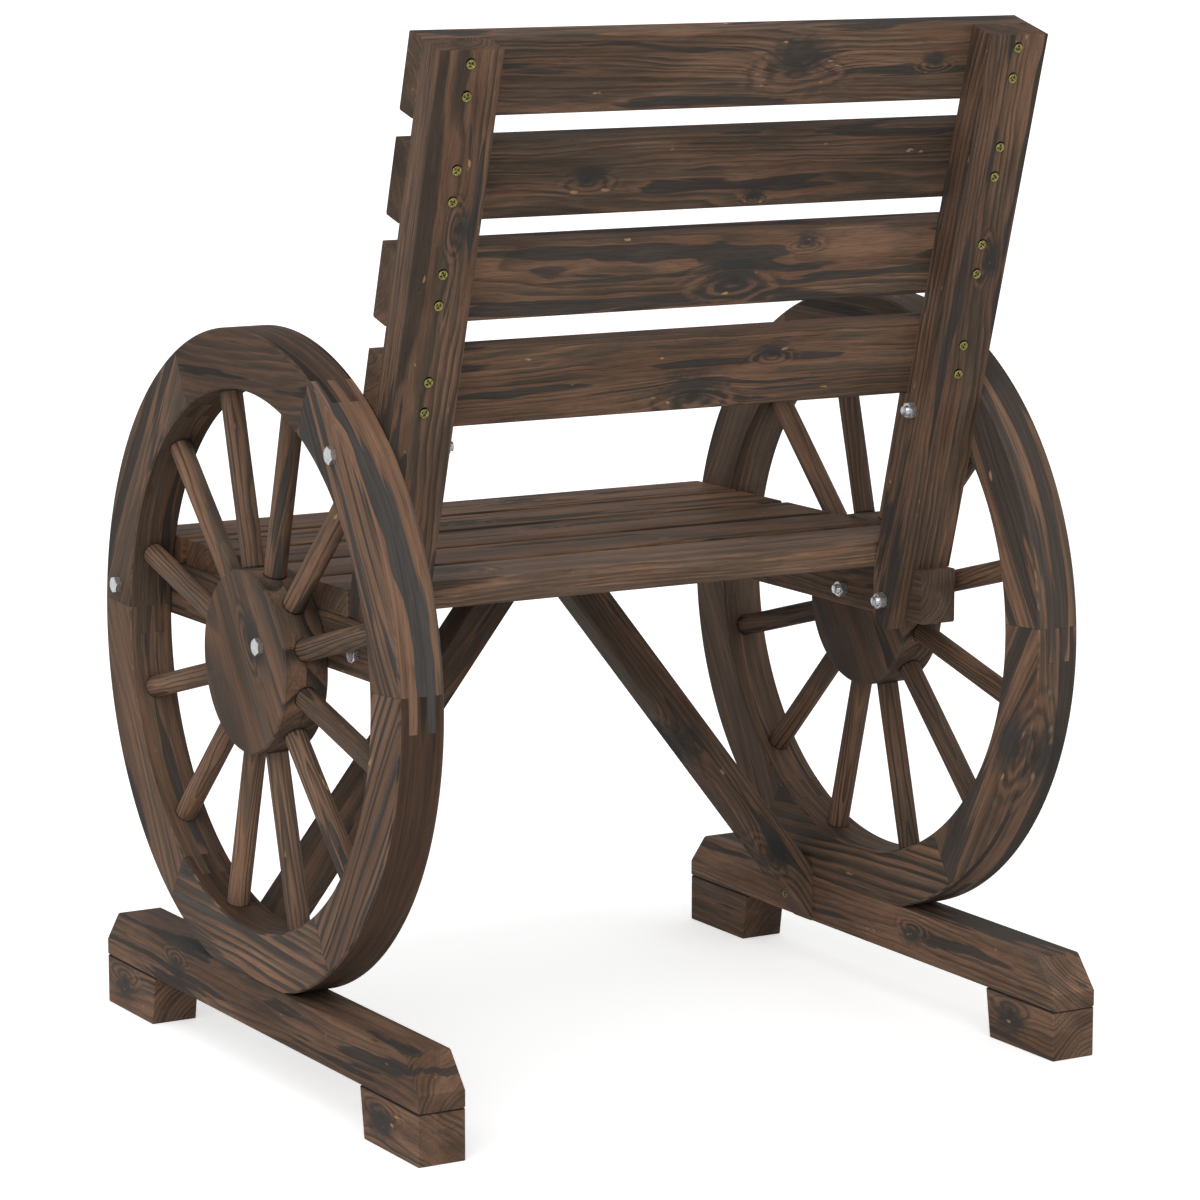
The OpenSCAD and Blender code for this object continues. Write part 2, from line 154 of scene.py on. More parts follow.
class ChairStudio(bpy.types.PropertyGroup):
    """Floor, light and camera"""

    floor: FloatVectorProperty(
        name="Floor", description="Colour of the floor", subtype="COLOR",
        size=4, min=0, max=1, default=(0.9, 0.9, 0.9, 1))
    sky: FloatProperty(
        name="Room light", description="Strength of the even light of the room",
        default=0.62, min=0, max=3)
    key: FloatProperty(
        name="Main light", description="Strength of the large soft lamp above",
        default=1.46, min=0, max=20)
    azimuth: FloatProperty(
        name="Camera azimuth", description="Direction from which the chair is seen, in degrees",
        default=149.7355, min=0, max=360)
    elevation: FloatProperty(
        name="Camera elevation", description="Height of the camera above the horizon, in degrees",
        default=9.7564, min=-10, max=80)
    lens: FloatProperty(
        name="Lens", description="Focal length in millimetres on a sensor 36 wide",
        default=134.553, min=20, max=400)


# Wiring of node trees

# Sockets of a Mix node by kind of data: factor, first, second and result
MIX_SOCKETS = {"FLOAT": (0, 2, 3, 0), "VECTOR": (0, 4, 5, 1), "RGBA": (0, 6, 7, 2)}


class Wiring:
    """Adds nodes to a tree and joins their sockets"""

    def __init__(self, tree):
        self.tree = tree

    def add(self, kind, **settings):
        node = self.tree.nodes.new(kind)
        for name, value in settings.items():
            setattr(node, name, value)
        return node

    def feed(self, socket, value):
        if isinstance(value, bpy.types.NodeSocket):
            self.tree.links.new(value, socket)
        elif value is not None:
            socket.default_value = value

    def fed(self, kind, inputs, **settings):
        """A node whose named inputs get values or the outputs of other nodes"""
        node = self.add(kind, **settings)
        for name, value in inputs.items():
            self.feed(node.inputs[name], value)
        return node

    def show(self, shader, kind="ShaderNodeOutputMaterial"):
        """Joins a finished shader to the output"""
        self.feed(self.add(kind).inputs["Surface"], shader.outputs[0])

    def math(self, operation, *values):
        node = self.add("ShaderNodeMath", operation=operation)
        for socket, value in zip(node.inputs, values):
            self.feed(socket, value)
        return node.outputs[0]

    def plus(self, a, b):
        return self.math("ADD", a, b)

    def minus(self, a, b):
        return self.math("SUBTRACT", a, b)

    def times(self, a, b):
        return self.math("MULTIPLY", a, b)

    def over(self, a, b):
        return self.math("DIVIDE", a, b)

    def gain(self, a, b, c):
        """The product of a and b, with c added"""
        return self.math("MULTIPLY_ADD", a, b, c)

    def span(self, a, b):
        """Length of the diagonal of two sides"""
        return self.math("SQRT", self.plus(self.times(a, a), self.times(b, b)))

    def vector(self, operation, a, b=None, scale=None):
        node = self.add("ShaderNodeVectorMath", operation=operation)
        self.feed(node.inputs[0], a)
        self.feed(node.inputs[1], b)
        self.feed(node.inputs[3], scale)
        return node.outputs[1 if operation in {"DOT_PRODUCT", "LENGTH"} else 0]

    def xyz(self, x, y, z):
        return self.fed("ShaderNodeCombineXYZ", {"X": x, "Y": y, "Z": z}).outputs[0]

    def split(self, vector):
        return self.fed("ShaderNodeSeparateXYZ", {"Vector": vector}).outputs

    def smooth(self, value, low, high, start=0.0, end=1.0):
        """An eased step: start where the value is at low, end where it is at high"""
        inputs = {"Value": value, "From Min": low, "From Max": high, "To Min": start, "To Max": end}
        node = self.fed("ShaderNodeMapRange", inputs, interpolation_type="SMOOTHSTEP", clamp=True)
        return node.outputs["Result"]

    def mix(self, kind, factor, a, b, **settings):
        node = self.add("ShaderNodeMix", data_type=kind, **settings)
        *places, result = MIX_SOCKETS[kind]
        for index, value in zip(places, (factor, a, b)):
            self.feed(node.inputs[index], value)
        return node.outputs[result]

    def tint(self, factor, a, b, blend="MIX"):
        return self.mix("RGBA", factor, a, b, blend_type=blend)

    def blend(self, factor, a, b):
        return self.mix("FLOAT", factor, a, b)

    def noise(self, vector, scale=1.0, detail=1.0, rough=0.5):
        inputs = {"Vector": vector, "Scale": scale, "Detail": detail, "Roughness": rough}
        return self.fed("ShaderNodeTexNoise", inputs, noise_dimensions="3D").outputs


def new_group(name, kind, sockets):
    """An empty node group with the given inputs and outputs"""
    tree = bpy.data.node_groups.new(name, kind)
    for way, title, socket_type, value in sockets:
        socket = tree.interface.new_socket(title, in_out=way, socket_type=socket_type)
        if value is not None:
            socket.default_value = value
    wires = Wiring(tree)
    source = wires.add("NodeGroupInput").outputs if any(s[0] == "INPUT" for s in sockets) else None
    return tree, wires, source, wires.add("NodeGroupOutput").inputs


# The wood


def knot_shape(w, x, y, knot):
    """One knot: how far it pushes the grain aside, and the distances to its eye, its smoke and its curls"""
    at = w.split(knot)
    size = w.math("MAXIMUM", at[2], 0.01)
    along = w.over(w.minus(x, at[0]), size)
    across = w.over(w.minus(y, at[1]), size)

    def away(stretch, lift):
        return w.vector("LENGTH", w.xyz(w.times(along, stretch), w.minus(across, lift), 0.0))

    spread = w.math("POWER", w.times(away(0.42, 0.0), 0.52), 2)
    bell = w.math("EXPONENT", w.times(spread, -1))
    push = w.times(w.times(bell, size), 1.7)
    return push, away(0.8, 0.0), away(0.55, -1.1), away(0.34, 0.7)


def grain_sockets(finish):
    """Inputs and outputs of the wood; heart, ring gap, wave and knots are in millimetres"""
    vectors = ("Place", "Along", "Knot A", "Knot B")
    numbers = {
        "Seed": 0.0, "Figure": 1.0, "Heart Y": 6.0, "Heart Z": -60.0, "Ring Gap": 4.4, "Wave": 16.0,
        "Rise": 0.01, "Scorch": 0.5, "Warmth": 0.5, "Tone": 1.0, "Lines": 1.0,
    }
    colours = {
        "Brown": finish.brown, "Warm": finish.warm, "Growth Line": finish.line,
        "Charcoal": finish.char, "Fleck": finish.fleck,
    }
    results = {"Color": "NodeSocketColor", "Roughness": "NodeSocketFloat", "Height": "NodeSocketFloat"}
    sockets = [("INPUT", title, "NodeSocketVector", None) for title in vectors]
    sockets += [("INPUT", title, "NodeSocketFloat", value) for title, value in numbers.items()]
    sockets += [("INPUT", title, "NodeSocketColor", tuple(value)) for title, value in colours.items()]
    return sockets + [("OUTPUT", title, kind, None) for title, kind in results.items()]


def scorched_fir(finish):
    """Sawn fir: growth rings about a heart, knots, brushed fibres and charcoal streaks"""
    name = "Scorched Fir"
    if name in bpy.data.node_groups:
        return bpy.data.node_groups[name]
    tree, w, given, put = new_group(name, "ShaderNodeTree", grain_sockets(finish))
    mm = w.vector("SCALE", given["Place"], scale=w.over(1000.0, given["Figure"]))
    x, y, z = w.split(mm)
    seed = given["Seed"]
    shift = w.xyz(w.times(seed, 17.31), w.times(seed, 9.77), w.times(seed, 5.13))

    def spot(x_len, y_len, z_len, extra=0.0):
        scaled = w.vector("MULTIPLY", mm, (1 / x_len, 1 / y_len, 1 / z_len))
        moved = w.vector("ADD", scaled, shift)
        return w.vector("ADD", moved, (extra, extra * 0.7, extra * 1.3))

    def cloud(*lengths, **detail):
        return w.noise(spot(*lengths), **detail)[0]

    def waves(*lengths):
        return w.split(w.vector("SUBTRACT", w.noise(spot(*lengths))[1], (0.5, 0.5, 0.5)))

    def streaks(length, across, through, **detail):
        return w.noise(w.xyz(w.over(x, length), across, through), **detail)[0]

    def stain(colour, mask, amount, title):
        return w.tint(w.times(mask, amount), colour, given[title])

    def shade(colour, amount):
        return w.tint(1.0, colour, w.xyz(amount, amount, amount), "MULTIPLY")

    # Growth rings, bent by slow waves and pushed aside by the knots
    slow = waves(250, 52, 52)
    quick = waves(46, 13, 13, 4.1)
    knots = [knot_shape(w, x, y, given[title]) for title in ("Knot A", "Knot B")]
    near, smoke, curl = [w.math("MINIMUM", knots[0][i], knots[1][i]) for i in (1, 2, 3)]
    dy = w.minus(y, given["Heart Y"])
    dz = w.minus(z, given["Heart Z"])
    shove = w.gain(slow[0], given["Wave"], w.times(quick[0], 2.8))
    shove = w.plus(shove, w.plus(knots[0][0], knots[1][0]))
    far = w.plus(w.gain(x, given["Rise"], w.span(dy, dz)), shove)
    across = w.gain(w.times(shove, w.math("SIGN", dy)), 0.75, y)
    ring = w.over(far, given["Ring Gap"])
    uneven = w.noise(w.xyz(w.times(ring, 0.41), seed, 0.0))[0]
    ring = w.gain(uneven, 2.6, ring)
    turn = w.math("FRACT", ring)
    bold = streaks(120.0, w.times(w.math("FLOOR", ring), 3.7), seed)
    bold = w.gain(cloud(150, 30, 30, 71.0), 0.5, w.times(bold, 0.6))
    late = w.times(w.smooth(turn, 0.38, 0.88), w.smooth(turn, 1.0, 0.92))
    late = w.times(late, w.times(w.smooth(bold, 0.42, 0.66, 0.10, 1.0), given["Lines"]))
    early = w.times(w.smooth(turn, 0.0, 0.06), w.smooth(turn, 0.5, 0.16))

    # Fine fibres and short dark pores along the grain
    fibre = cloud(34, 0.95, 0.95, 2.0, detail=2.0, rough=0.6)
    strand = streaks(55.0, w.over(far, 1.7), w.over(z, 40.0))
    pore = w.smooth(cloud(11, 0.8, 0.8, 7.0, detail=0.0), 0.62, 0.74)

    # Charcoal and warm streaks follow the rings
    streak = streaks(105.0, w.over(far, 6.5), w.times(seed, 3.1), detail=2.0, rough=0.45)
    lens = streaks(230.0, w.over(across, 11.0), w.gain(z, 0.02, w.times(seed, 5.7)), rough=0.3)
    burnt = w.gain(lens, 0.62, w.gain(streak, 0.34, w.times(cloud(260, 40, 40, 11.0), 0.36)))
    burnt = w.gain(strand, 0.13, burnt)
    edge = w.gain(given["Scorch"], -0.20, 0.905)
    charred = w.smooth(burnt, edge, w.plus(edge, 0.028))
    singed = w.smooth(burnt, w.minus(edge, 0.055), edge)
    glow = streaks(110.0, w.over(far, 7.0), w.plus(seed, 40.0))
    glow = w.gain(cloud(170, 50, 50, 23.0), 0.5, w.times(glow, 0.6))
    limit = w.gain(given["Warmth"], -0.2, 0.65)
    glowing = w.smooth(glow, limit, w.plus(limit, 0.11))
    faint = w.times(early, w.smooth(glow, w.minus(limit, 0.12), limit))
    glowing = w.math("MAXIMUM", w.math("MAXIMUM", glowing, faint), w.times(singed, 0.85))

    # Sawn ends take less charcoal and are a little darker
    facing = w.add("ShaderNodeTexCoord").outputs["Normal"]
    end = w.smooth(w.math("ABSOLUTE", w.vector("DOT_PRODUCT", facing, given["Along"])), 0.72, 0.9)

    # Brown wood, then the streaks, growth lines, fibres and pores over it
    colour = stain(given["Brown"], glowing, 0.85, "Warm")
    mottle = w.smooth(cloud(60, 16, 16, 31.0, detail=3.0), 0.25, 0.75, 0.88, 1.12)
    colour = shade(colour, w.times(mottle, w.smooth(cloud(230, 26, 26, 37.0), 0.36, 0.6, 0.74, 1.07)))
    colour = stain(colour, charred, w.blend(end, 0.82, 0.35), "Charcoal")
    colour = stain(colour, late, 0.70, "Growth Line")
    brushed = w.smooth(fibre, 0.2, 0.8, 0.8, 1.2)
    colour = shade(colour, w.times(brushed, w.smooth(strand, 0.25, 0.75, 0.91, 1.09)))
    colour = stain(colour, pore, 0.3, "Growth Line")

    # Knots: a small eye, curled rings below it, scorched smoke above it and pale flecks beside it
    ragged = w.minus(cloud(9, 4, 4, 61.0, detail=2.0), 0.5)
    near = w.gain(ragged, 1.2, near)
    ripple = w.math("SINE", w.gain(w.plus(quick[1], slow[2]), 11.0, w.times(curl, 7.0)))
    zone = w.times(w.smooth(w.gain(ragged, 2.6, curl), 3.0, 1.6), w.smooth(smoke, 1.0, 2.4))
    colour = stain(colour, w.times(zone, w.smooth(ripple, 0.0, 0.9)), 0.55, "Warm")
    colour = stain(colour, w.times(zone, w.smooth(ripple, -0.2, -0.9)), 0.55, "Growth Line")
    smoke = w.smooth(w.gain(ragged, 3.0, w.gain(streak, 2.4, smoke)), 4.4, 2.0)
    colour = stain(colour, smoke, 0.82, "Charcoal")
    core = w.smooth(near, 0.95, 0.45)
    colour = stain(colour, core, 0.6, "Growth Line")
    pale = w.smooth(cloud(10, 4.5, 4.5, 51.0, detail=0.0), 0.76, 0.86)
    pale = w.times(pale, w.times(w.smooth(curl, 2.8, 2.0), w.smooth(near, 0.8, 1.4)))
    stray = w.smooth(cloud(24, 9, 9, 91.0), 0.745, 0.80)
    stray = w.times(stray, w.smooth(cloud(7, 3.5, 3.5, 95.0), 0.50, 0.58))
    colour = stain(colour, w.math("MAXIMUM", pale, stray), 0.7, "Fleck")
    colour = stain(colour, end, 0.28, "Growth Line")
    w.feed(put["Color"], w.vector("SCALE", colour, scale=given["Tone"]))

    # Charcoal and sawn ends are duller, growth lines stand proud and pores are sunk
    rough = w.gain(charred, 0.1, w.gain(late, -0.12, 0.6))
    w.feed(put["Roughness"], w.gain(end, 0.14, w.gain(fibre, 0.12, rough)))
    height = w.gain(pore, -0.35, w.gain(late, 0.55, w.times(fibre, 0.45)))
    w.feed(put["Height"], w.gain(core, -0.3, height))
    return tree


def bare_material(name):
    """A new material with an empty tree, and the wiring of that tree"""
    material = bpy.data.materials.new(name)
    material.use_nodes = True
    material.node_tree.nodes.clear()
    return material, Wiring(material.node_tree)


def wood_material(name, place, along, look):
    """A wood material: the shared grain feeds one satin surface"""
    finish = bpy.context.scene.chair_finish
    material, w = bare_material(name)
    inputs = {"Place": place(w), "Along": along(w), **look}
    grain = w.fed("ShaderNodeGroup", inputs, node_tree=scorched_fir(finish)).outputs
    relief = {"Height": grain["Height"], "Strength": 0.75, "Distance": finish.relief}
    w.show(w.fed("ShaderNodeBsdfPrincipled", {
        "Base Color": grain["Color"],
        "Roughness": grain["Roughness"],
        "Specular IOR Level": 0.12,
        "Normal": w.fed("ShaderNodeBump", relief).outputs["Normal"],
    }))
    return material


def seated(w, centre, along, out):
    """Object coordinates about a centre, turned so that X runs along the grain and Z points out"""
    turn = Matrix((along, out.cross(along), out)).transposed()
    return w.fed("ShaderNodeMapping", {
        "Vector": w.add("ShaderNodeTexCoord").outputs["Object"],
        "Location": tuple(centre),
        "Rotation": tuple(turn.to_euler()),
    }, vector_type="TEXTURE").outputs[0]


def timber_material(name, grain, face, centre, look):
    """Wood of a straight timber: grain is its length, face the normal of the side with the knots"""
    along = Vector(grain).normalized()
    out = Vector(face)
    out = (out - along * out.dot(along)).normalized()
    return wood_material(name, lambda w: seated(w, centre, along, out), lambda w: w.xyz(*along), look)


def parts_of(material):
    """The wiring, the grain group and the shader of a wood material"""
    nodes = material.node_tree.nodes
    grain = next(n for n in nodes if n.type == "GROUP")
    shader = next(n for n in nodes if n.type == "BSDF_PRINCIPLED")
    return Wiring(material.node_tree), grain, shader


def painted_seam_shade(material, height):
    """Paints shade on the wood just under the height at which it meets the timber above"""
    w, grain, shader = parts_of(material)
    z = w.split(w.add("ShaderNodeTexCoord").outputs["Object"])[2]
    # Painted shade: a dark band just below the height where the timber above sits
    seam_shade = w.smooth(z, height - 0.0014, height - 0.0009, 0.0, 0.85)
    w.feed(shader.inputs["Base Color"], w.tint(seam_shade, grain.outputs["Color"], SEAM_SHADE_COLOUR))


def rim_material(name, angle, sign, look, tread_tone, tread_lines, tread_scorch, strip):
    """Wood of a rim segment: straight grain on its faces, and grain that follows the tread"""
    grain = Vector((0, -math.sin(angle), math.cos(angle)))
    radius = (WHEEL_R + RIM_INNER) / 2
    reach = (radius * math.cos(angle), radius * math.sin(angle))
    middle = Vector((sign * WHEEL_X, WHEEL_Y + reach[0], WHEEL_Z + reach[1]))

    def place(w):
        spot = w.add("ShaderNodeTexCoord").outputs
        x, y, z = w.split(w.vector("SUBTRACT", spot["Object"], (sign * WHEEL_X, WHEEL_Y, WHEEL_Z)))
        turned_y = w.plus(w.times(y, math.cos(angle)), w.times(z, math.sin(angle)))
        turned_z = w.minus(w.times(z, math.cos(angle)), w.times(y, math.sin(angle)))
        arc = w.times(w.math("ARCTAN2", turned_z, turned_y), radius)
        rolled = w.xyz(arc, x, w.minus(w.span(y, z), radius))
        flat = w.smooth(w.math("ABSOLUTE", w.split(spot["Normal"])[0]), 0.55, 0.75)
        return w.mix("VECTOR", flat, rolled, seated(w, middle, grain, Vector((sign, 0, 0))))

    material = wood_material(name, place, lambda w: w.xyz(0.0, 0.0, 0.0), look)
    w, group, _ = parts_of(material)
    spot = w.add("ShaderNodeTexCoord").outputs
    tread = w.smooth(w.math("ABSOLUTE", w.split(spot["Normal"])[0]), 0.75, 0.55)

    # A brighter strip wanders along the outer edge of the tread and narrows above the hub
    x, _, z = w.split(spot["Object"])
    lost = w.smooth(z, WHEEL_Z + 0.02, WHEEL_Z + 0.14, 0.0, 0.012)
    width = w.gain(lost, -1.0, 0.0165)
    depth = w.minus(w.minus(FELLOE_SIDE[1][0], w.times(x, sign)), width)
    wander = w.minus(w.noise(spot["Object"], scale=22.0)[0], 0.5)
    depth = w.gain(wander, 0.010, depth)
    bright = w.times(w.times(tread, strip), w.smooth(depth, 0.0012, -0.0008))
    scorch = w.blend(tread, look["Scorch"], tread_scorch)
    w.feed(group.inputs["Scorch"], w.gain(bright, -1.6, scorch))
    w.feed(group.inputs["Warmth"], w.gain(bright, 0.9, look["Warmth"]))
    w.feed(group.inputs["Tone"], w.blend(tread, look["Tone"], tread_tone))
    w.feed(group.inputs["Lines"], w.blend(tread, look["Lines"], tread_lines))
    return material


def joint_shade_material():
    """Eased edges of the wheels: painted shade in the joints and sockets, plain wood on the open arrises"""
    name = "wheel edges"
    if name in bpy.data.materials:
        return bpy.data.materials[name]
    material, w = bare_material(name)
    place = w.add("ShaderNodeTexCoord").outputs["Object"]
    x = w.split(w.vector("SUBTRACT", w.vector("ABSOLUTE", place), (WHEEL_X, 0.0, 0.0)))[0]
    _, y, z = w.split(w.vector("SUBTRACT", place, (0.0, WHEEL_Y, WHEEL_Z)))
    reach = w.span(y, z)
    face = w.smooth(w.math("ABSOLUTE", x), WHEEL_T / 2 - 0.0022, WHEEL_T / 2 - 0.0020)
    arris = 0.0
    for radius in (WHEEL_R, RIM_INNER, HUB_R):
        near = w.smooth(w.math("ABSOLUTE", w.minus(reach, radius)), 0.0022, 0.0020)
        arris = w.math("MAXIMUM", arris, near)
    wood = [part * 0.62 for part in bpy.context.scene.chair_finish.brown[:3]] + [1]
    # Bevels in joints and sockets take a near black colour as painted shade; open arrises take plain wood
    w.show(w.fed("ShaderNodeBsdfPrincipled", {
        "Base Color": w.tint(w.times(face, arris), (0.016, 0.0125, 0.0105, 1), wood),
        "Roughness": 0.7,
    }))
    return material


def look_of(seed, **changes):
    """The values of one timber's wood: a seeded choice, with named values given"""
    pick = random.Random(seed * 7919 + 13)
    values = {
        "Seed": float(seed),
        "Heart Y": pick.choice((-1, 1)) * pick.uniform(22, 60),
        "Heart Z": -pick.uniform(30, 60),
        "Ring Gap": pick.uniform(3.1, 4.3),
        "Wave": pick.uniform(11, 19),
        "Rise": pick.uniform(-0.02, 0.02),
        "Knot A": (pick.uniform(-180, 180), pick.uniform(-14, 14), pick.choice((0.0, 5.0, 7.0))),
        "Knot B": (pick.uniform(-180, 180), pick.uniform(-20, 20), pick.choice((0.0, 0.0, 4.0))),
        "Scorch": pick.uniform(0.35, 0.7),
        "Warmth": pick.uniform(0.35, 0.7),
        "Tone": pick.uniform(0.93, 1.07),
        "Lines": pick.uniform(0.85, 1.0),
    }
    for title, value in changes.items():
        values[title.replace("_", " ").title()] = value
    return values


# Pieces


def merged_copy(name, node):
    """A copy of a CAD node's mesh with its loose triangles joined into clean faces"""
    mesh = bpy.data.meshes.new(name)
    shape = bmesh.new()
    shape.from_mesh(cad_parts[node].data)
    bmesh.ops.remove_doubles(shape, verts=shape.verts, dist=2e-6)
    bmesh.ops.dissolve_limit(
        shape, angle_limit=math.radians(0.4), verts=shape.verts, edges=shape.edges)
    bmesh.ops.recalc_face_normals(shape, faces=shape.faces)
    shape.to_mesh(mesh)
    shape.free()
    mesh.materials.clear()
    return mesh


def keep(name, mesh, slot, *nodes):
    """Puts a finished mesh in the scene as a piece that stands for CAD nodes"""
    piece = bpy.data.objects.new(name, mesh)
    bpy.context.scene.collection.objects.link(piece)
    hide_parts(*nodes)
    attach(piece, "root")
    return piece


def timber(node, slot, grain, face, look, edge=None):
    """A straight timber: its eased edges and its own stretch of wood"""
    low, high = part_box(node)
    middle = (Vector(low) + Vector(high)) / 2
    return eased(node, slot, [timber_material(f"{node} fir", grain, face, middle, look)], edge)


def eased(node, slot, materials, edge=None):
    """A piece with softened edges; a second material goes on those edges"""
    mesh = merged_copy(f"{node}_timber", node)
    for material in materials:
        mesh.materials.append(material)
    piece = keep(f"{node}_timber", mesh, slot, node)
    soften = piece.modifiers.new("Eased edges", "BEVEL")
    soften.width = bpy.context.scene.chair_finish.edge if edge is None else edge
    soften.segments = 2
    soften.limit_method = "ANGLE"
    soften.angle_limit = math.radians(28)
    soften.harden_normals = True
    soften.material = len(materials) - 1 if len(materials) > 1 else -1
    mesh.shade_smooth()
    mesh.set_sharp_from_angle(angle=math.radians(32))
    return piece


# Looks of the six rim segments of the left wheel, then of the right: scorch, warmth, ring gap, lines
# and tone; tone, lines and scorch of the tread; and 1 where the tread has a brighter strip
# The tones of faces and treads are partly the wood's own and partly painted shade, set by each segment's
# place on the wheel
RIM_LOOKS = (
    (0.70, 0.80, 3.7, 1.90, 0.94, 1.00, 0.5, 1.10, 1.0),
    (0.55, 0.30, 5.0, 0.50, 0.52, 0.46, 0.4, 0.60, 0.0),
    (0.50, 0.25, 5.0, 0.30, 0.83, 0.70, 0.3, 0.60, 0.0),
    (0.50, 0.60, 5.0, 0.45, 0.83, 0.94, 0.3, 0.50, 0.0),
    (0.50, 0.80, 4.2, 3.20, 1.08, 0.42, 0.5, 0.60, 0.0),
    (0.25, 0.90, 4.3, 3.60, 0.98, 0.46, 0.5, 0.70, 0.0),
    (0.70, 0.60, 4.4, 0.90, 1.16, 1.00, 0.5, 0.90, 0.0),
    (0.80, 0.30, 5.0, 0.40, 0.60, 0.60, 0.4, 0.80, 0.0),
    (0.50, 0.05, 5.0, 0.25, 0.80, 0.95, 0.3, 0.50, 0.0),
    (0.50, 0.05, 5.0, 0.25, 0.80, 0.95, 0.3, 0.50, 0.0),
    (0.55, 0.60, 5.2, 2.20, 1.00, 0.85, 0.6, 0.70, 0.0),
    (0.75, 0.85, 4.6, 0.90, 1.10, 0.80, 0.5, 0.80, 0.0),
)


class CHAIR_OT_rims(bpy.types.Operator):
    """Make the finger-jointed rim segments of both wheels"""

    bl_idname = "chair.rims"
    bl_label = "Rims"

    def execute(self, context):
        for number, (side, sign) in enumerate(SIDES):
            for i in range(1, 7):
                angle = math.radians(60 * i - 30)
                scorch, warmth, gap, lines, tone, *tread = RIM_LOOKS[i - 1 + 6 * number]
                knot = (24.0, 4.0, 4.5) if i == 6 and number else NO_KNOT
                look = look_of(
                    100 + 10 * number + i, figure=1.8, heart_y=-32.0, heart_z=-12.0, ring_gap=gap,
                    wave=15.0, scorch=scorch, warmth=warmth, lines=lines, tone=tone,
                    knot_a=knot, knot_b=NO_KNOT)
                if i == 1 and number == 0:
                    look["Charcoal"] = (0.034, 0.046, 0.051, 1)
                wood = rim_material(f"{side} rim fir {i}", angle, sign, look, *tread)
                eased(f"{side}_felloe_{i}", "rim_wood", [wood, joint_shade_material()], WHEEL_EDGE)
        return {"FINISHED"}


class CHAIR_OT_hubs(bpy.types.Operator):
    """Make the four hub discs with their spoke grooves"""

    bl_idname = "chair.hubs"
    bl_label = "Hubs"

    def execute(self, context):
        for number, (side, sign) in enumerate(SIDES):
            centre = (sign * WHEEL_X, WHEEL_Y, WHEEL_Z)
            for place, way in (("outer", 1), ("inner", -1)):
                # The inner discs take a lower tone as painted shade, darker on the near wheel than on the
                # far one
                look = look_of(
                    140 + number * 2 + way, figure=2.4, heart_z=-14.0, heart_y=18.0, ring_gap=4.0,
                    wave=46.0, scorch=0.02 if way > 0 else 0.2, warmth=0.45 if way > 0 else 0.3,
                    lines=1.5 + 0.5 * number, tone=0.86 if way > 0 else 0.60 + 0.17 * number,
                    knot_a=(3.3, -8.6, 2.4), knot_b=NO_KNOT)
                name = f"{side} {place} hub fir"
                wood = timber_material(name, (0, -0.55, 0.83), (sign * way, 0, 0), centre, look)
                eased(f"{side}_{place}_hub_disc", "hub_wood", [wood, joint_shade_material()], WHEEL_EDGE)
        return {"FINISHED"}


class CHAIR_OT_base(bpy.types.Operator):
    """Make the skids and their feet"""

    bl_idname = "chair.base"
    bl_label = "Skids and Feet"

    def execute(self, context):
        plain_look = {"warmth": 0.1, "scorch": 0.2, "tone": 0.8, "lines": 0.3, "knot_a": NO_KNOT}
        knotty_look = {"warmth": 0.85, "scorch": 0.5, "tone": 1.0, "lines": 1.1, "knot_a": FOOT_KNOT}
        for number, (side, _) in enumerate(SIDES):
            look = look_of(160 + number, tone=0.84 + 0.22 * number, warmth=0.95,
                           knot_a=(-150.0 + 230 * number, 4.0, 4.0), knot_b=NO_KNOT)
            timber(f"{side}_skid", "base_wood", (0, 1, 0), (1, 0, 0), look)
            for place in ("front", "rear"):
                changes = plain_look if number and place == "front" else knotty_look
                look = look_of(164 + number * 2 + (place == "rear"), wave=30.0, figure=1.3,
                               knot_b=NO_KNOT, **changes)
                node = f"{side}_{place}_foot"
                foot = timber(node, "base_wood", (0, 1, 0), (1, 0, 0), look)
                # Painted shade along the top of the foot, where the skid sits on it
                painted_seam_shade(foot.data.materials[0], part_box(node)[1][2])
        return {"FINISHED"}


class CHAIR_OT_seat(bpy.types.Operator):
    """Make the rails, the seat boards and the braces below them"""

    bl_idname = "chair.seat"
    bl_label = "Seat"

    def execute(self, context):
        calm_look = {
            "scorch": 0.32, "warmth": 0.35, "tone": 1.14, "lines": 0.8,
            "brown": (0.118, 0.078, 0.054, 1), "warm": (0.205, 0.113, 0.070, 1),
        }
        streaky_look = {
            "scorch": 0.56, "warmth": 1.0, "tone": 0.82, "lines": 1.5,
            "brown": (0.119, 0.068, 0.037, 1), "warm": (0.215, 0.110, 0.058, 1),
        }
        for i in range(1, 6):
            look = look_of(180 + i, wave=14.0, knot_b=NO_KNOT, charcoal=(0.042, 0.033, 0.026, 1),
                           **(calm_look if i == 5 else streaky_look))
            timber(f"seat_board_{i}", "seat_wood", (1, 0, 0), (0, 0, 1), look, BOARD_EDGE)
        for number, (side, sign) in enumerate(SIDES):
            look = look_of(190 + number, tone=0.86, scorch=0.4, knot_a=NO_KNOT, knot_b=NO_KNOT)
            timber(f"{side}_rail", "frame_wood", (0, 1, 0), (sign, 0, 0), look, FRAME_EDGE)
            low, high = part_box(f"{side}_brace")
            rise = Vector((-sign * (high[0] - low[0]), 0, high[2] - low[2])).normalized()
            look = look_of(194 + number, scorch=0.48, warmth=0.3, tone=0.77,
                           knot_a=(0.0, 3.0, 6.5), knot_b=(-150.0, -7.0, 5.0))
            timber(f"{side}_brace", "frame_wood", rise, (0, 1, 0), look, FRAME_EDGE)
        return {"FINISHED"}


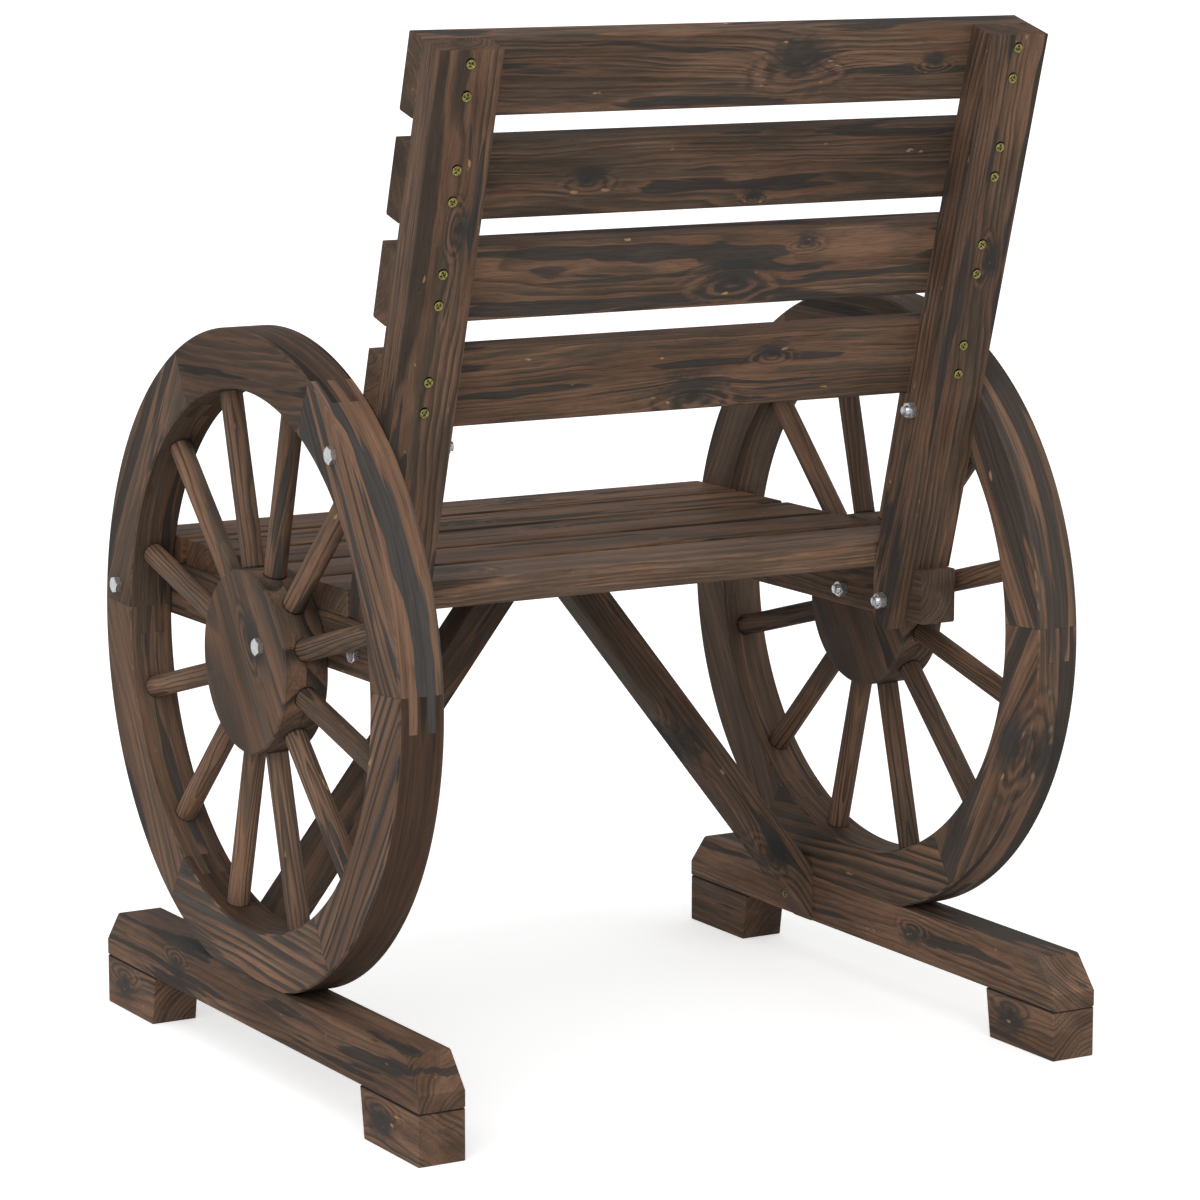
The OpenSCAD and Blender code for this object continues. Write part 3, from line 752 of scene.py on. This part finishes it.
# Looks of the slats from the lowest up: scorch, tone, and two knots, each by its place along, its place
# across and its size in millimetres
SLAT_LOOKS = (
    (0.60, 0.86, (-12.0, 20.0, 7.0), (-84.0, -12.0, 3.5)),
    (0.64, 0.96, (-34.0, 9.0, 7.0), (-100.0, -19.0, 3.0)),
    (0.52, 0.70, (118.0, 3.0, 4.0), (-40.0, 24.0, 2.5)),
    (0.60, 0.90, (-62.0, 0.0, 7.5), (-196.0, 0.0, 3.0)),
)


class CHAIR_OT_back(bpy.types.Operator):
    """Make the leaning posts and the slats of the back"""

    bl_idname = "chair.back"
    bl_label = "Back"

    def execute(self, context):
        for number, (side, _) in enumerate(SIDES):
            look = look_of(200 + number, scorch=0.5, warmth=0.6, lines=1.15, tone=0.84,
                           knot_a=(120.0 - 50 * number, -8.0, 4.0), knot_b=NO_KNOT)
            timber(f"{side}_post", "frame_wood", UP_BACK, OUT_BACK, look)
        for i, (scorch, tone, knot, twig) in enumerate(SLAT_LOOKS, 1):
            look = look_of(210 + i, tone=tone, scorch=scorch, knot_a=knot, knot_b=twig)
            timber(f"back_slat_{i}", "back_wood", (1, 0, 0), OUT_BACK, look, BOARD_EDGE)
        return {"FINISHED"}


# Repeated pieces


def socket_id(tree, title):
    """Identifier of an input, by which a modifier knows it"""
    for item in tree.interface.items_tree:
        if getattr(item, "in_out", "") == "INPUT" and item.name == title:
            return item.identifier
    raise KeyError(title)


def grown_mesh(host, tree, values, name):
    """The mesh that a tree makes on a host object; the host and the modifier are gone afterwards"""
    modifier = host.modifiers.new(tree.name, "NODES")
    modifier.node_group = tree
    for title, value in values.items():
        modifier[socket_id(tree, title)] = value
    bpy.context.view_layer.update()
    depsgraph = bpy.context.evaluated_depsgraph_get()
    mesh = bpy.data.meshes.new_from_object(host.evaluated_get(depsgraph), depsgraph=depsgraph)
    mesh.name = name
    host.modifiers.clear()
    bpy.data.objects.remove(host)
    return mesh


def host_object(name, points, turns=()):
    """A mesh of bare points, each with the turn of what stands on it"""
    mesh = bpy.data.meshes.new(name)
    mesh.from_pydata([tuple(p) for p in points], [], [])
    if turns:
        layer = mesh.attributes.new("turn", "FLOAT_VECTOR", "POINT")
        for entry, turn in zip(layer.data, turns):
            entry.vector = turn
    host = bpy.data.objects.new(name, mesh)
    bpy.context.scene.collection.objects.link(host)
    return host


def stored_on(w, geometry, name, value, data_type="FLOAT_VECTOR", domain="INSTANCE"):
    """The geometry with a named attribute stored on it"""
    inputs = {"Geometry": geometry, "Name": name, "Value": value}
    node = w.fed("GeometryNodeStoreNamedAttribute", inputs, data_type=data_type, domain=domain)
    return node.outputs["Geometry"]


def dressed(w, geometry, material):
    """The geometry with one material on all of it"""
    inputs = {"Geometry": geometry, "Material": material}
    return w.fed("GeometryNodeSetMaterial", inputs).outputs["Geometry"]


def spoke_tree():
    """Geometry tree: rods set round a hub, each with its place in the wood stored on it"""
    name = "Spoke Ring"
    if name in bpy.data.node_groups:
        return bpy.data.node_groups[name]
    tree, w, given, put = new_group(name, "GeometryNodeTree", (
        ("INPUT", "Geometry", "NodeSocketGeometry", None),
        ("INPUT", "Count", "NodeSocketInt", 12),
        ("INPUT", "Diameter", "NodeSocketFloat", SPOKE_D),
        ("INPUT", "Start", "NodeSocketFloat", SPOKE_START),
        ("INPUT", "End", "NodeSocketFloat", SPOKE_END),
        ("INPUT", "Unevenness", "NodeSocketFloat", 0.0003),
        ("INPUT", "Centre", "NodeSocketVector", None),
        ("INPUT", "Seed", "NodeSocketInt", 1),
        ("INPUT", "Material", "NodeSocketMaterial", None),
        ("OUTPUT", "Geometry", "NodeSocketGeometry", None),
    ))
    length = w.minus(given["End"], given["Start"])
    rod = w.fed("GeometryNodeMeshCylinder", {
        "Vertices": 40,
        "Side Segments": 24,
        "Radius": w.times(given["Diameter"], 0.5),
        "Depth": length,
    }).outputs["Mesh"]
    x, y, z = w.split(w.add("GeometryNodeInputPosition").outputs[0])
    rod = stored_on(w, rod, "rod_place", w.xyz(z, x, y), domain="POINT")
    middle = w.plus(given["Start"], w.times(length, 0.5))
    laid = w.fed("GeometryNodeTransform", {
        "Geometry": rod,
        "Translation": w.xyz(0.0, middle, 0.0),
        "Rotation": (-math.pi / 2, 0.0, 0.0),
    })
    places = {"Count": given["Count"], "Offset": (0.0, 0.0, 0.0)}
    ways = w.fed("GeometryNodeMeshLine", places, mode="OFFSET")
    index = w.add("GeometryNodeInputIndex").outputs[0]
    angle = w.times(w.plus(index, 0.5), w.over(2 * math.pi, given["Count"]))
    ring = w.fed("GeometryNodeInstanceOnPoints", {
        "Points": ways.outputs["Mesh"],
        "Instance": laid.outputs["Geometry"],
        "Rotation": w.xyz(angle, 0.0, 0.0),
    }).outputs["Instances"]
    ring = stored_on(w, ring, "rod_number", w.plus(index, given["Seed"]), data_type="FLOAT")
    ring = stored_on(w, ring, "rod_way", w.xyz(0.0, w.math("COSINE", angle), w.math("SINE", angle)))
    real = w.fed("GeometryNodeRealizeInstances", {"Geometry": ring})
    place = w.add("GeometryNodeInputPosition").outputs[0]
    drift = w.vector("SUBTRACT", w.noise(place, scale=22.0)[1], (0.5, 0.5, 0.5))
    wander = w.fed("GeometryNodeSetPosition", {
        "Geometry": real.outputs["Geometry"],
        "Offset": w.vector("SCALE", drift, scale=given["Unevenness"]),
    })
    placed = w.fed("GeometryNodeTransform", {
        "Geometry": wander.outputs["Geometry"],
        "Translation": given["Centre"],
    })
    w.feed(put["Geometry"], dressed(w, placed.outputs["Geometry"], given["Material"]))
    return tree


def spoke_material():
    """Wood of the spokes: every rod has its own grain, with painted shade where it enters rim and hub and
    painted shadow of the seat on the far wheel's lower rods
    """
    name = "spoke fir"
    if name in bpy.data.materials:
        return bpy.data.materials[name]

    def stored(w, title):
        return w.add("ShaderNodeAttribute", attribute_name=title).outputs

    def place(w):
        jump = w.xyz(w.times(stored(w, "rod_number")["Fac"], 0.61), 0.0, 0.0)
        return w.vector("ADD", stored(w, "rod_place")["Vector"], jump)

    material = wood_material(name, place, lambda w: stored(w, "rod_way")["Vector"], {
        "Figure": 1.35, "Heart Y": 6.0, "Heart Z": -10.0, "Ring Gap": 2.2, "Wave": 22.0, "Rise": 0.0,
        "Scorch": 0.28, "Warmth": 0.7, "Lines": 1.5, "Seed": 77.0,
    })
    w, grain, shader = parts_of(material)
    x, _, z = w.split(w.add("ShaderNodeTexCoord").outputs["Object"])
    # Painted shadow of the seat: the far wheel's spokes below the hub take a lower tone
    darker = w.times(w.math("LESS_THAN", x, 0.0), w.smooth(z, WHEEL_Z + 0.10, WHEEL_Z))
    w.feed(grain.inputs["Tone"], w.blend(darker, 1.08, 0.74))
    # Painted shade in a narrow band where each rod enters the rim and the hub
    along = w.split(stored(w, "rod_place")["Vector"])[0]
    middle = (SPOKE_START + SPOKE_END) / 2
    at_rim = RIM_INNER - middle
    at_hub = HUB_R - middle
    rim = w.smooth(along, at_rim - 0.0016, at_rim - 0.0002)
    hub = w.smooth(along, at_hub + 0.002, at_hub + 0.0004)
    seam_shade = w.times(w.math("MAXIMUM", rim, hub), 0.8)
    w.feed(shader.inputs["Base Color"], w.tint(seam_shade, grain.outputs["Color"], SEAM_SHADE_COLOUR))
    return material


class CHAIR_OT_spokes(bpy.types.Operator):
    """Make the turned spokes of both wheels"""

    bl_idname = "chair.spokes"
    bl_label = "Spokes"

    def execute(self, context):
        spokes = context.scene.chair_spokes
        for number, (side, sign) in enumerate(SIDES):
            host = host_object(f"{side} spoke host", [(0, 0, 0)])
            mesh = grown_mesh(host, spoke_tree(), {
                "Count": spokes.count,
                "Diameter": spokes.diameter,
                "Start": SPOKE_START,
                "End": SPOKE_END,
                "Unevenness": spokes.bow,
                "Centre": (sign * WHEEL_X, WHEEL_Y, WHEEL_Z),
                "Seed": 3 + 20 * number,
                "Material": spoke_material(),
            }, f"{side}_spoke_rods")
            piece = keep(f"{side}_spoke_rods", mesh, "spoke_wood", f"{side}_spokes")
            piece.data.shade_smooth()
            piece.data.set_sharp_from_angle(angle=math.radians(40))
        return {"FINISHED"}


# Bolts, nuts and screws


def ring_shape(rings, closed_start=True, closed_end=True):
    """A turned shape from rings of points, each ring with the same count"""
    shape = bmesh.new()
    rows = [[shape.verts.new(p) for p in ring] for ring in rings]
    count = len(rows[0])
    for below, above in zip(rows, rows[1:]):
        for i in range(count):
            j = (i + 1) % count
            shape.faces.new((below[i], below[j], above[j], above[i]))
    if closed_start:
        shape.faces.new(list(reversed(rows[0])))
    if closed_end:
        shape.faces.new(rows[-1])
    return shape


def circle(radius, z, count=72):
    """Points of a ring; radius and height are numbers or functions of the angle"""
    points = []
    for i in range(count):
        angle = 2 * math.pi * i / count
        r = radius(angle) if callable(radius) else radius
        points.append((r * math.cos(angle), r * math.sin(angle), z(angle) if callable(z) else z))
    return points


def hexagon_radius(flats):
    """Distance of a hexagon's side from its middle, by angle"""
    def at(angle):
        return flats / 2 / math.cos((angle + math.pi / 6) % (math.pi / 3) - math.pi / 6)
    return at


def chamfer(flats, height, base=False):
    """Height of the turned-off corners of a hexagon, by angle"""
    side = hexagon_radius(flats)
    round_r = flats * 0.472

    def at(angle):
        drop = max(0.0, side(angle) - round_r) * math.tan(math.radians(30))
        return drop if base else height - drop
    return at


def thread_rings(radius, pitch, start, end, count=72):
    """Rings of a right-hand thread between two heights, running off to a plain point"""
    depth = pitch * 0.55
    steps = max(2, int(abs(end - start) / pitch * 6))
    rings = []
    for s in range(steps + 1):
        z = start + (end - start) * s / steps
        fade = min(1.0, s / 5, (steps - s) / 3 + 0.25)

        def at(angle, z=z, fade=fade):
            turn = (z / pitch - angle / (2 * math.pi)) % 1.0
            return radius - depth * fade * abs(turn * 2 - 1)
        rings.append(circle(at, z, count))
    return rings


def finished_mesh(name, shape, sharp=35):
    """A mesh from a finished shape, smooth but for its crisp edges"""
    bmesh.ops.recalc_face_normals(shape, faces=shape.faces)
    mesh = bpy.data.meshes.new(name)
    shape.to_mesh(mesh)
    shape.free()
    mesh.shade_smooth()
    mesh.set_sharp_from_angle(angle=math.radians(sharp))
    return mesh


def bolt_mesh(name, grip, fasteners):
    """Hexagon bolt: the head stands on z = 0 and the shank runs down through the grip"""
    flats = fasteners.flats
    side = hexagon_radius(flats)
    end = -(grip + NUT_H + BOLT_TAIL)
    sizes = ((flats * 0.46, 0.0), (side, 0.0002), (side, chamfer(flats, HEAD_H)), (flats * 0.47, HEAD_H),
             (flats * 0.40, HEAD_H - 0.00012), (flats * 0.15, HEAD_H - 0.00022))
    rings = [circle(0.0031, end)]
    rings += thread_rings(SHANK_R, fasteners.pitch, end + 0.0004, end + 0.008)
    rings += [circle(SHANK_R, end + 0.0085), circle(SHANK_R, -0.0002)]
    rings += [circle(radius, z) for radius, z in sizes]
    return finished_mesh(name, ring_shape(rings), 24)


def nut_mesh(name, fasteners):
    """Hexagon nut on z = 0 with both faces turned off and a countersunk bore"""
    flats = fasteners.flats
    side = hexagon_radius(flats)
    bore = SHANK_R + 0.0001
    sizes = ((bore, 0.0006), (bore + 0.0005, 0.0), (flats * 0.46, 0.0), (side, chamfer(flats, NUT_H, True)),
             (side, chamfer(flats, NUT_H)), (flats * 0.46, NUT_H), (bore + 0.0006, NUT_H),
             (bore, NUT_H - 0.0007), (bore, 0.0006))
    shape = ring_shape([circle(radius, z) for radius, z in sizes], False, False)
    bmesh.ops.remove_doubles(shape, verts=shape.verts, dist=1e-6)
    return finished_mesh(name, shape, 24)


def cross_depth(x, y, radius):
    """Depth of a cross recess at a point of a screw head"""
    reach = radius * 0.78
    half = radius * 0.19
    far = math.hypot(x, y)
    if far > reach or min(abs(x), abs(y)) > half:
        return 0.0
    slope = 1 - (far / reach) ** 2
    wall = min(1.0, (half - min(abs(x), abs(y))) / (half * 0.35))
    return radius * 0.62 * slope * wall


def screw_mesh(name, length):
    """Countersunk screw with a cross recess and a coarse thread, its head's face on z = 0"""
    radius = 0.004
    count = 48
    rings = [circle(0.0001, -length, count)]
    rings += thread_rings(0.002, 0.0018, 0.004 - length, 0.012 - length, count)
    neck = ((0.0019, -0.003), (radius * 0.98, -0.0006), (radius, -0.0002))
    rings += [circle(r, z, count) for r, z in neck]
    shape = ring_shape(rings, True, False)
    bmesh.ops.remove_doubles(shape, verts=shape.verts, dist=1e-7)
    rim = [circle(radius, -0.0002, count)]
    for part in (0.93, 0.8, 0.7, 0.62, 0.55, 0.47, 0.4, 0.33, 0.27, 0.21, 0.16, 0.1, 0.05):
        dome = 0.00055 * (1 - part * part)
        flat = circle(radius * part, 0.0, count)
        rim.append([(x, y, dome - cross_depth(x, y, radius)) for x, y, _ in flat])
    top = ring_shape(rim, False, True)
    spare = bpy.data.meshes.new("head")
    top.to_mesh(spare)
    top.free()
    shape.from_mesh(spare)
    bpy.data.meshes.remove(spare)
    bmesh.ops.remove_doubles(shape, verts=shape.verts, dist=2e-6)
    return finished_mesh(name, shape, 40)


def metal_material(name, colour, rough, streaks):
    """Plated metal: a slightly uneven sheen, and small dull patches that are partly uneven plating and
    partly painted dark reflections
    """
    material, w = bare_material(name)
    place = w.add("ShaderNodeTexCoord").outputs["Object"]
    cloud = w.noise(place, scale=420.0, detail=4.0, rough=0.6)[0]
    speck = w.noise(place, scale=1900.0, detail=2.0)[0]
    # Darker patches in the colour: partly uneven plating and partly painted dark reflections
    tarnish_and_dark_reflection = tuple(c * 0.45 for c in colour[:3]) + (1,)
    bump = w.fed("ShaderNodeBump", {"Height": speck, "Distance": 0.00006, "Strength": 0.5})
    w.show(w.fed("ShaderNodeBsdfPrincipled", {
        "Base Color": w.tint(w.smooth(cloud, 0.42, 0.66, 0.0, streaks), tuple(colour), tarnish_and_dark_reflection),
        "Metallic": 0.94,
        "Roughness": w.smooth(cloud, 0.3, 0.8, rough, rough + 0.22),
        "Normal": bump.outputs["Normal"],
    }))
    return material


def fastener_tree():
    """Geometry tree: one shape set on every point, turned about its own axis by chance"""
    name = "Fasteners"
    if name in bpy.data.node_groups:
        return bpy.data.node_groups[name]
    tree, w, given, put = new_group(name, "GeometryNodeTree", (
        ("INPUT", "Geometry", "NodeSocketGeometry", None),
        ("INPUT", "Shape", "NodeSocketObject", None),
        ("INPUT", "Spin", "NodeSocketFloat", math.pi),
        ("INPUT", "Seed", "NodeSocketInt", 1),
        ("INPUT", "Material", "NodeSocketMaterial", None),
        ("OUTPUT", "Geometry", "NodeSocketGeometry", None),
    ))
    shape = w.fed("GeometryNodeObjectInfo", {"Object": given["Shape"]}, transform_space="ORIGINAL")
    turn = w.fed("GeometryNodeInputNamedAttribute", {"Name": "turn"}, data_type="FLOAT_VECTOR")
    points = w.fed("GeometryNodeMeshToPoints", {"Mesh": given["Geometry"]})
    stand = w.fed("GeometryNodeInstanceOnPoints", {
        "Points": points.outputs["Points"],
        "Instance": shape.outputs["Geometry"],
        "Rotation": turn.outputs["Attribute"],
    })
    chance = w.fed("FunctionNodeRandomValue", {"Seed": given["Seed"]}, data_type="FLOAT")
    w.feed(chance.inputs[2], w.times(given["Spin"], -1.0))
    w.feed(chance.inputs[3], given["Spin"])
    spun = w.fed("GeometryNodeRotateInstances", {
        "Instances": stand.outputs["Instances"],
        "Rotation": w.xyz(0.0, 0.0, chance.outputs[1]),
    })
    real = w.fed("GeometryNodeRealizeInstances", {"Geometry": spun.outputs["Instances"]})
    w.feed(put["Geometry"], dressed(w, real.outputs["Geometry"], given["Material"]))
    return tree


def set_fasteners(name, shape_mesh, places, material, slot, node, seed):
    """One piece of like fasteners: places are (point, direction in which the head faces)"""
    shape = bpy.data.objects.new(f"{name} shape", shape_mesh)
    bpy.context.scene.collection.objects.link(shape)
    turns = [tuple(Vector(way).to_track_quat("Z", "Y").to_euler()) for _, way in places]
    host = host_object(f"{name} host", [point for point, _ in places], turns)
    mesh = grown_mesh(host, fastener_tree(), {
        "Shape": shape, "Spin": math.pi, "Seed": seed, "Material": material}, name)
    bpy.data.objects.remove(shape)
    mesh.set_sharp_from_angle(angle=math.radians(28))
    return keep(name, mesh, slot, node)


def islands(node):
    """The boxes of the separate solids of a CAD node, as (low, high) corners"""
    shape = bmesh.new()
    shape.from_mesh(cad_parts[node].data)
    bmesh.ops.remove_doubles(shape, verts=shape.verts, dist=2e-6)
    left = set(shape.verts)
    boxes = []
    while left:
        todo = [left.pop()]
        found = []
        while todo:
            vert = todo.pop()
            found.append(vert.co.copy())
            for edge in vert.link_edges:
                other = edge.other_vert(vert)
                if other in left:
                    left.remove(other)
                    todo.append(other)
        low = Vector([min(p[i] for p in found) for i in range(3)])
        high = Vector([max(p[i] for p in found) for i in range(3)])
        boxes.append((low, high))
    shape.free()
    return sorted(boxes, key=lambda b: tuple(round(v, 4) for v in b[0]))


def level_place(low, high, x, way):
    """Place of a fastener along X: the point of its axis at x, and the way in which its head faces"""
    return (x, (low[1] + high[1]) / 2, (low[2] + high[2]) / 2), (way, 0, 0)


def ends(low, high):
    """Side of the chair on which a fastener lies, and its inner and outer ends"""
    sign = 1.0 if low[0] > 0 else -1.0
    inner, outer = sorted((abs(low[0]), abs(high[0])))
    return sign, inner, outer


class CHAIR_OT_bolts(bpy.types.Operator):
    """Make the hexagon bolts and nuts"""

    bl_idname = "chair.bolts"
    bl_label = "Bolts and Nuts"

    def execute(self, context):
        fasteners = context.scene.chair_fasteners
        zinc = metal_material("Bright zinc", fasteners.zinc, 0.22, 0.35)
        for node in ("rim_bolts", "hub_bolts", "post_bolts"):
            groups = {}
            for low, high in islands(node):
                sign, _, outer = ends(low, high)
                grip = round((high[0] - low[0]) - HEAD_H - NUT_H - BOLT_TAIL, 4)
                groups.setdefault(grip, []).append(level_place(low, high, sign * (outer - HEAD_H), sign))
            one = len(groups) == 1
            for number, (grip, places) in enumerate(sorted(groups.items())):
                name = f"{node}_plated" if one else f"{node}_plated_{number + 1}"
                shape = bolt_mesh(f"bolt {grip}", grip, fasteners)
                set_fasteners(name, shape, places, zinc, "zinc_steel", node, 5 if one else 7 + number)
        places = []
        for low, high in islands("nuts"):
            sign, _, outer = ends(low, high)
            places.append(level_place(low, high, sign * outer, -sign))
        set_fasteners("nuts_plated", nut_mesh("nut", fasteners), places, zinc, "zinc_steel", "nuts", 11)
        return {"FINISHED"}


class CHAIR_OT_screws(bpy.types.Operator):
    """Make the cross-recessed screws"""

    bl_idname = "chair.screws"
    bl_label = "Screws"

    def execute(self, context):
        fasteners = context.scene.chair_fasteners
        brass = metal_material("Yellow zinc", fasteners.brass, 0.26, 0.85)
        leaning = []
        for low, high in islands("slat_screws"):
            leaning.append(((low + high) / 2 + OUT_BACK * SLAT_SCREW / 2, OUT_BACK))
        level = []
        for low, high in islands("brace_screws"):
            sign, inner, _ = ends(low, high)
            level.append(level_place(low, high, sign * inner, -sign))
        for node, length, places, seed in (("slat_screws", SLAT_SCREW, leaning, 21),
                                           ("brace_screws", BRACE_SCREW, level, 22)):
            shape = screw_mesh(node, length)
            set_fasteners(f"{node}_plated", shape, places, brass, "screw_brass", node, seed)
        return {"FINISHED"}


# Studio


def plain_world(sky):
    """Even room light that the camera sees as white"""
    world = bpy.data.worlds.new("Studio")
    world.use_nodes = True
    world.node_tree.nodes.clear()
    w = Wiring(world.node_tree)
    path = w.add("ShaderNodeLightPath").outputs
    seen = w.math("MAXIMUM", path["Is Camera Ray"], path["Is Transmission Ray"])
    room = {"Color": (1, 1, 1, 1), "Strength": w.blend(seen, sky, 1.0)}
    w.show(w.fed("ShaderNodeBackground", room), "ShaderNodeOutputWorld")
    return world


def floor_material(colour):
    """Pale matt floor that the camera sees a little brighter"""
    material, w = bare_material("Pale floor")
    matt = {"Base Color": tuple(colour), "Roughness": 0.9, "Specular IOR Level": 0.1}
    shader = w.fed("ShaderNodeBsdfPrincipled", matt)
    camera = w.add("ShaderNodeLightPath").outputs["Is Camera Ray"]
    seen = w.fed("ShaderNodeEmission", {"Strength": w.times(camera, 0.5)})
    both = w.add("ShaderNodeAddShader")
    w.feed(both.inputs[0], shader.outputs[0])
    w.feed(both.inputs[1], seen.outputs[0])
    w.show(both)
    return material


# Half the side of the floor, the way from the chair to the lamp, and the place of the camera
FLOOR_REACH = 30
LAMP_WAY = (0.50, 0.62, 0.60)
CAMERA_PLACE = (1.9022, 3.2776, 1.0298)


class CHAIR_OT_stage(bpy.types.Operator):
    """Make the floor, the lamp and the camera"""

    bl_idname = "chair.stage"
    bl_label = "Studio"

    def execute(self, context):
        scene = context.scene
        studio = scene.chair_studio
        scene.view_settings.view_transform = "Standard"
        scene.world = plain_world(studio.sky)
        mesh = bpy.data.meshes.new("floor")
        corners = [(x * FLOOR_REACH, y * FLOOR_REACH, 0) for x, y in ((-1, -1), (1, -1), (1, 1), (-1, 1))]
        mesh.from_pydata(corners, [], [(0, 1, 2, 3)])
        mesh.materials.append(floor_material(studio.floor))
        floor = bpy.data.objects.new("floor", mesh)
        scene.collection.objects.link(floor)
        data = bpy.data.lights.new("Main light", "SUN")
        data.energy = studio.key
        data.angle = math.radians(70)
        light = bpy.data.objects.new("Main light", data)
        light.rotation_mode = "QUATERNION"
        light.rotation_quaternion = Vector(LAMP_WAY).to_track_quat("Z", "Y")
        scene.collection.objects.link(light)
        data = bpy.data.cameras.new("Camera")
        data.sensor_width = 36
        data.lens = studio.lens
        camera = bpy.data.objects.new("Camera", data)
        camera.location = CAMERA_PLACE
        camera.rotation_euler = (math.radians(90 - studio.elevation), 0, math.radians(studio.azimuth))
        data.clip_start, data.clip_end = 0.05, 200
        scene.collection.objects.link(camera)
        scene.camera = camera
        return {"FINISHED"}


class CHAIR_PT_panel(bpy.types.Panel):
    """Lists the steps that dress the chair"""

    bl_idname = "CHAIR_PT_panel"
    bl_label = "Wagon Wheel Chair"
    bl_space_type = "VIEW_3D"
    bl_region_type = "UI"
    bl_category = "Chair"

    def draw(self, context):
        layout = self.layout
        for title, group in (("Wood", "chair_finish"), ("Spokes", "chair_spokes"),
                             ("Fasteners", "chair_fasteners"), ("Studio", "chair_studio")):
            box = layout.box()
            box.label(text=title)
            settings = getattr(context.scene, group)
            for name in settings.__annotations__:
                box.prop(settings, name)
        column = layout.column(align=True)
        for step in STEPS:
            column.operator(f"chair.{step}")


STEPS = ("stage", "rims", "hubs", "spokes", "base", "seat", "back", "bolts", "screws")
GROUPS = {
    "chair_finish": ChairFinish,
    "chair_spokes": ChairSpokes,
    "chair_fasteners": ChairFasteners,
    "chair_studio": ChairStudio,
}
CLASSES = (
    ChairFinish, ChairSpokes, ChairFasteners, ChairStudio,
    CHAIR_OT_stage, CHAIR_OT_rims, CHAIR_OT_hubs, CHAIR_OT_spokes, CHAIR_OT_base,
    CHAIR_OT_seat, CHAIR_OT_back, CHAIR_OT_bolts, CHAIR_OT_screws, CHAIR_PT_panel,
)


def register():
    for entry in CLASSES:
        bpy.utils.register_class(entry)
    for name, group in GROUPS.items():
        setattr(bpy.types.Scene, name, PointerProperty(type=group))


def unregister():
    for name in GROUPS:
        delattr(bpy.types.Scene, name)
    for entry in reversed(CLASSES):
        bpy.utils.unregister_class(entry)


def main():
    register()
    for step in STEPS:
        getattr(bpy.ops.chair, step)()


if __name__ == "__main__":
    main()
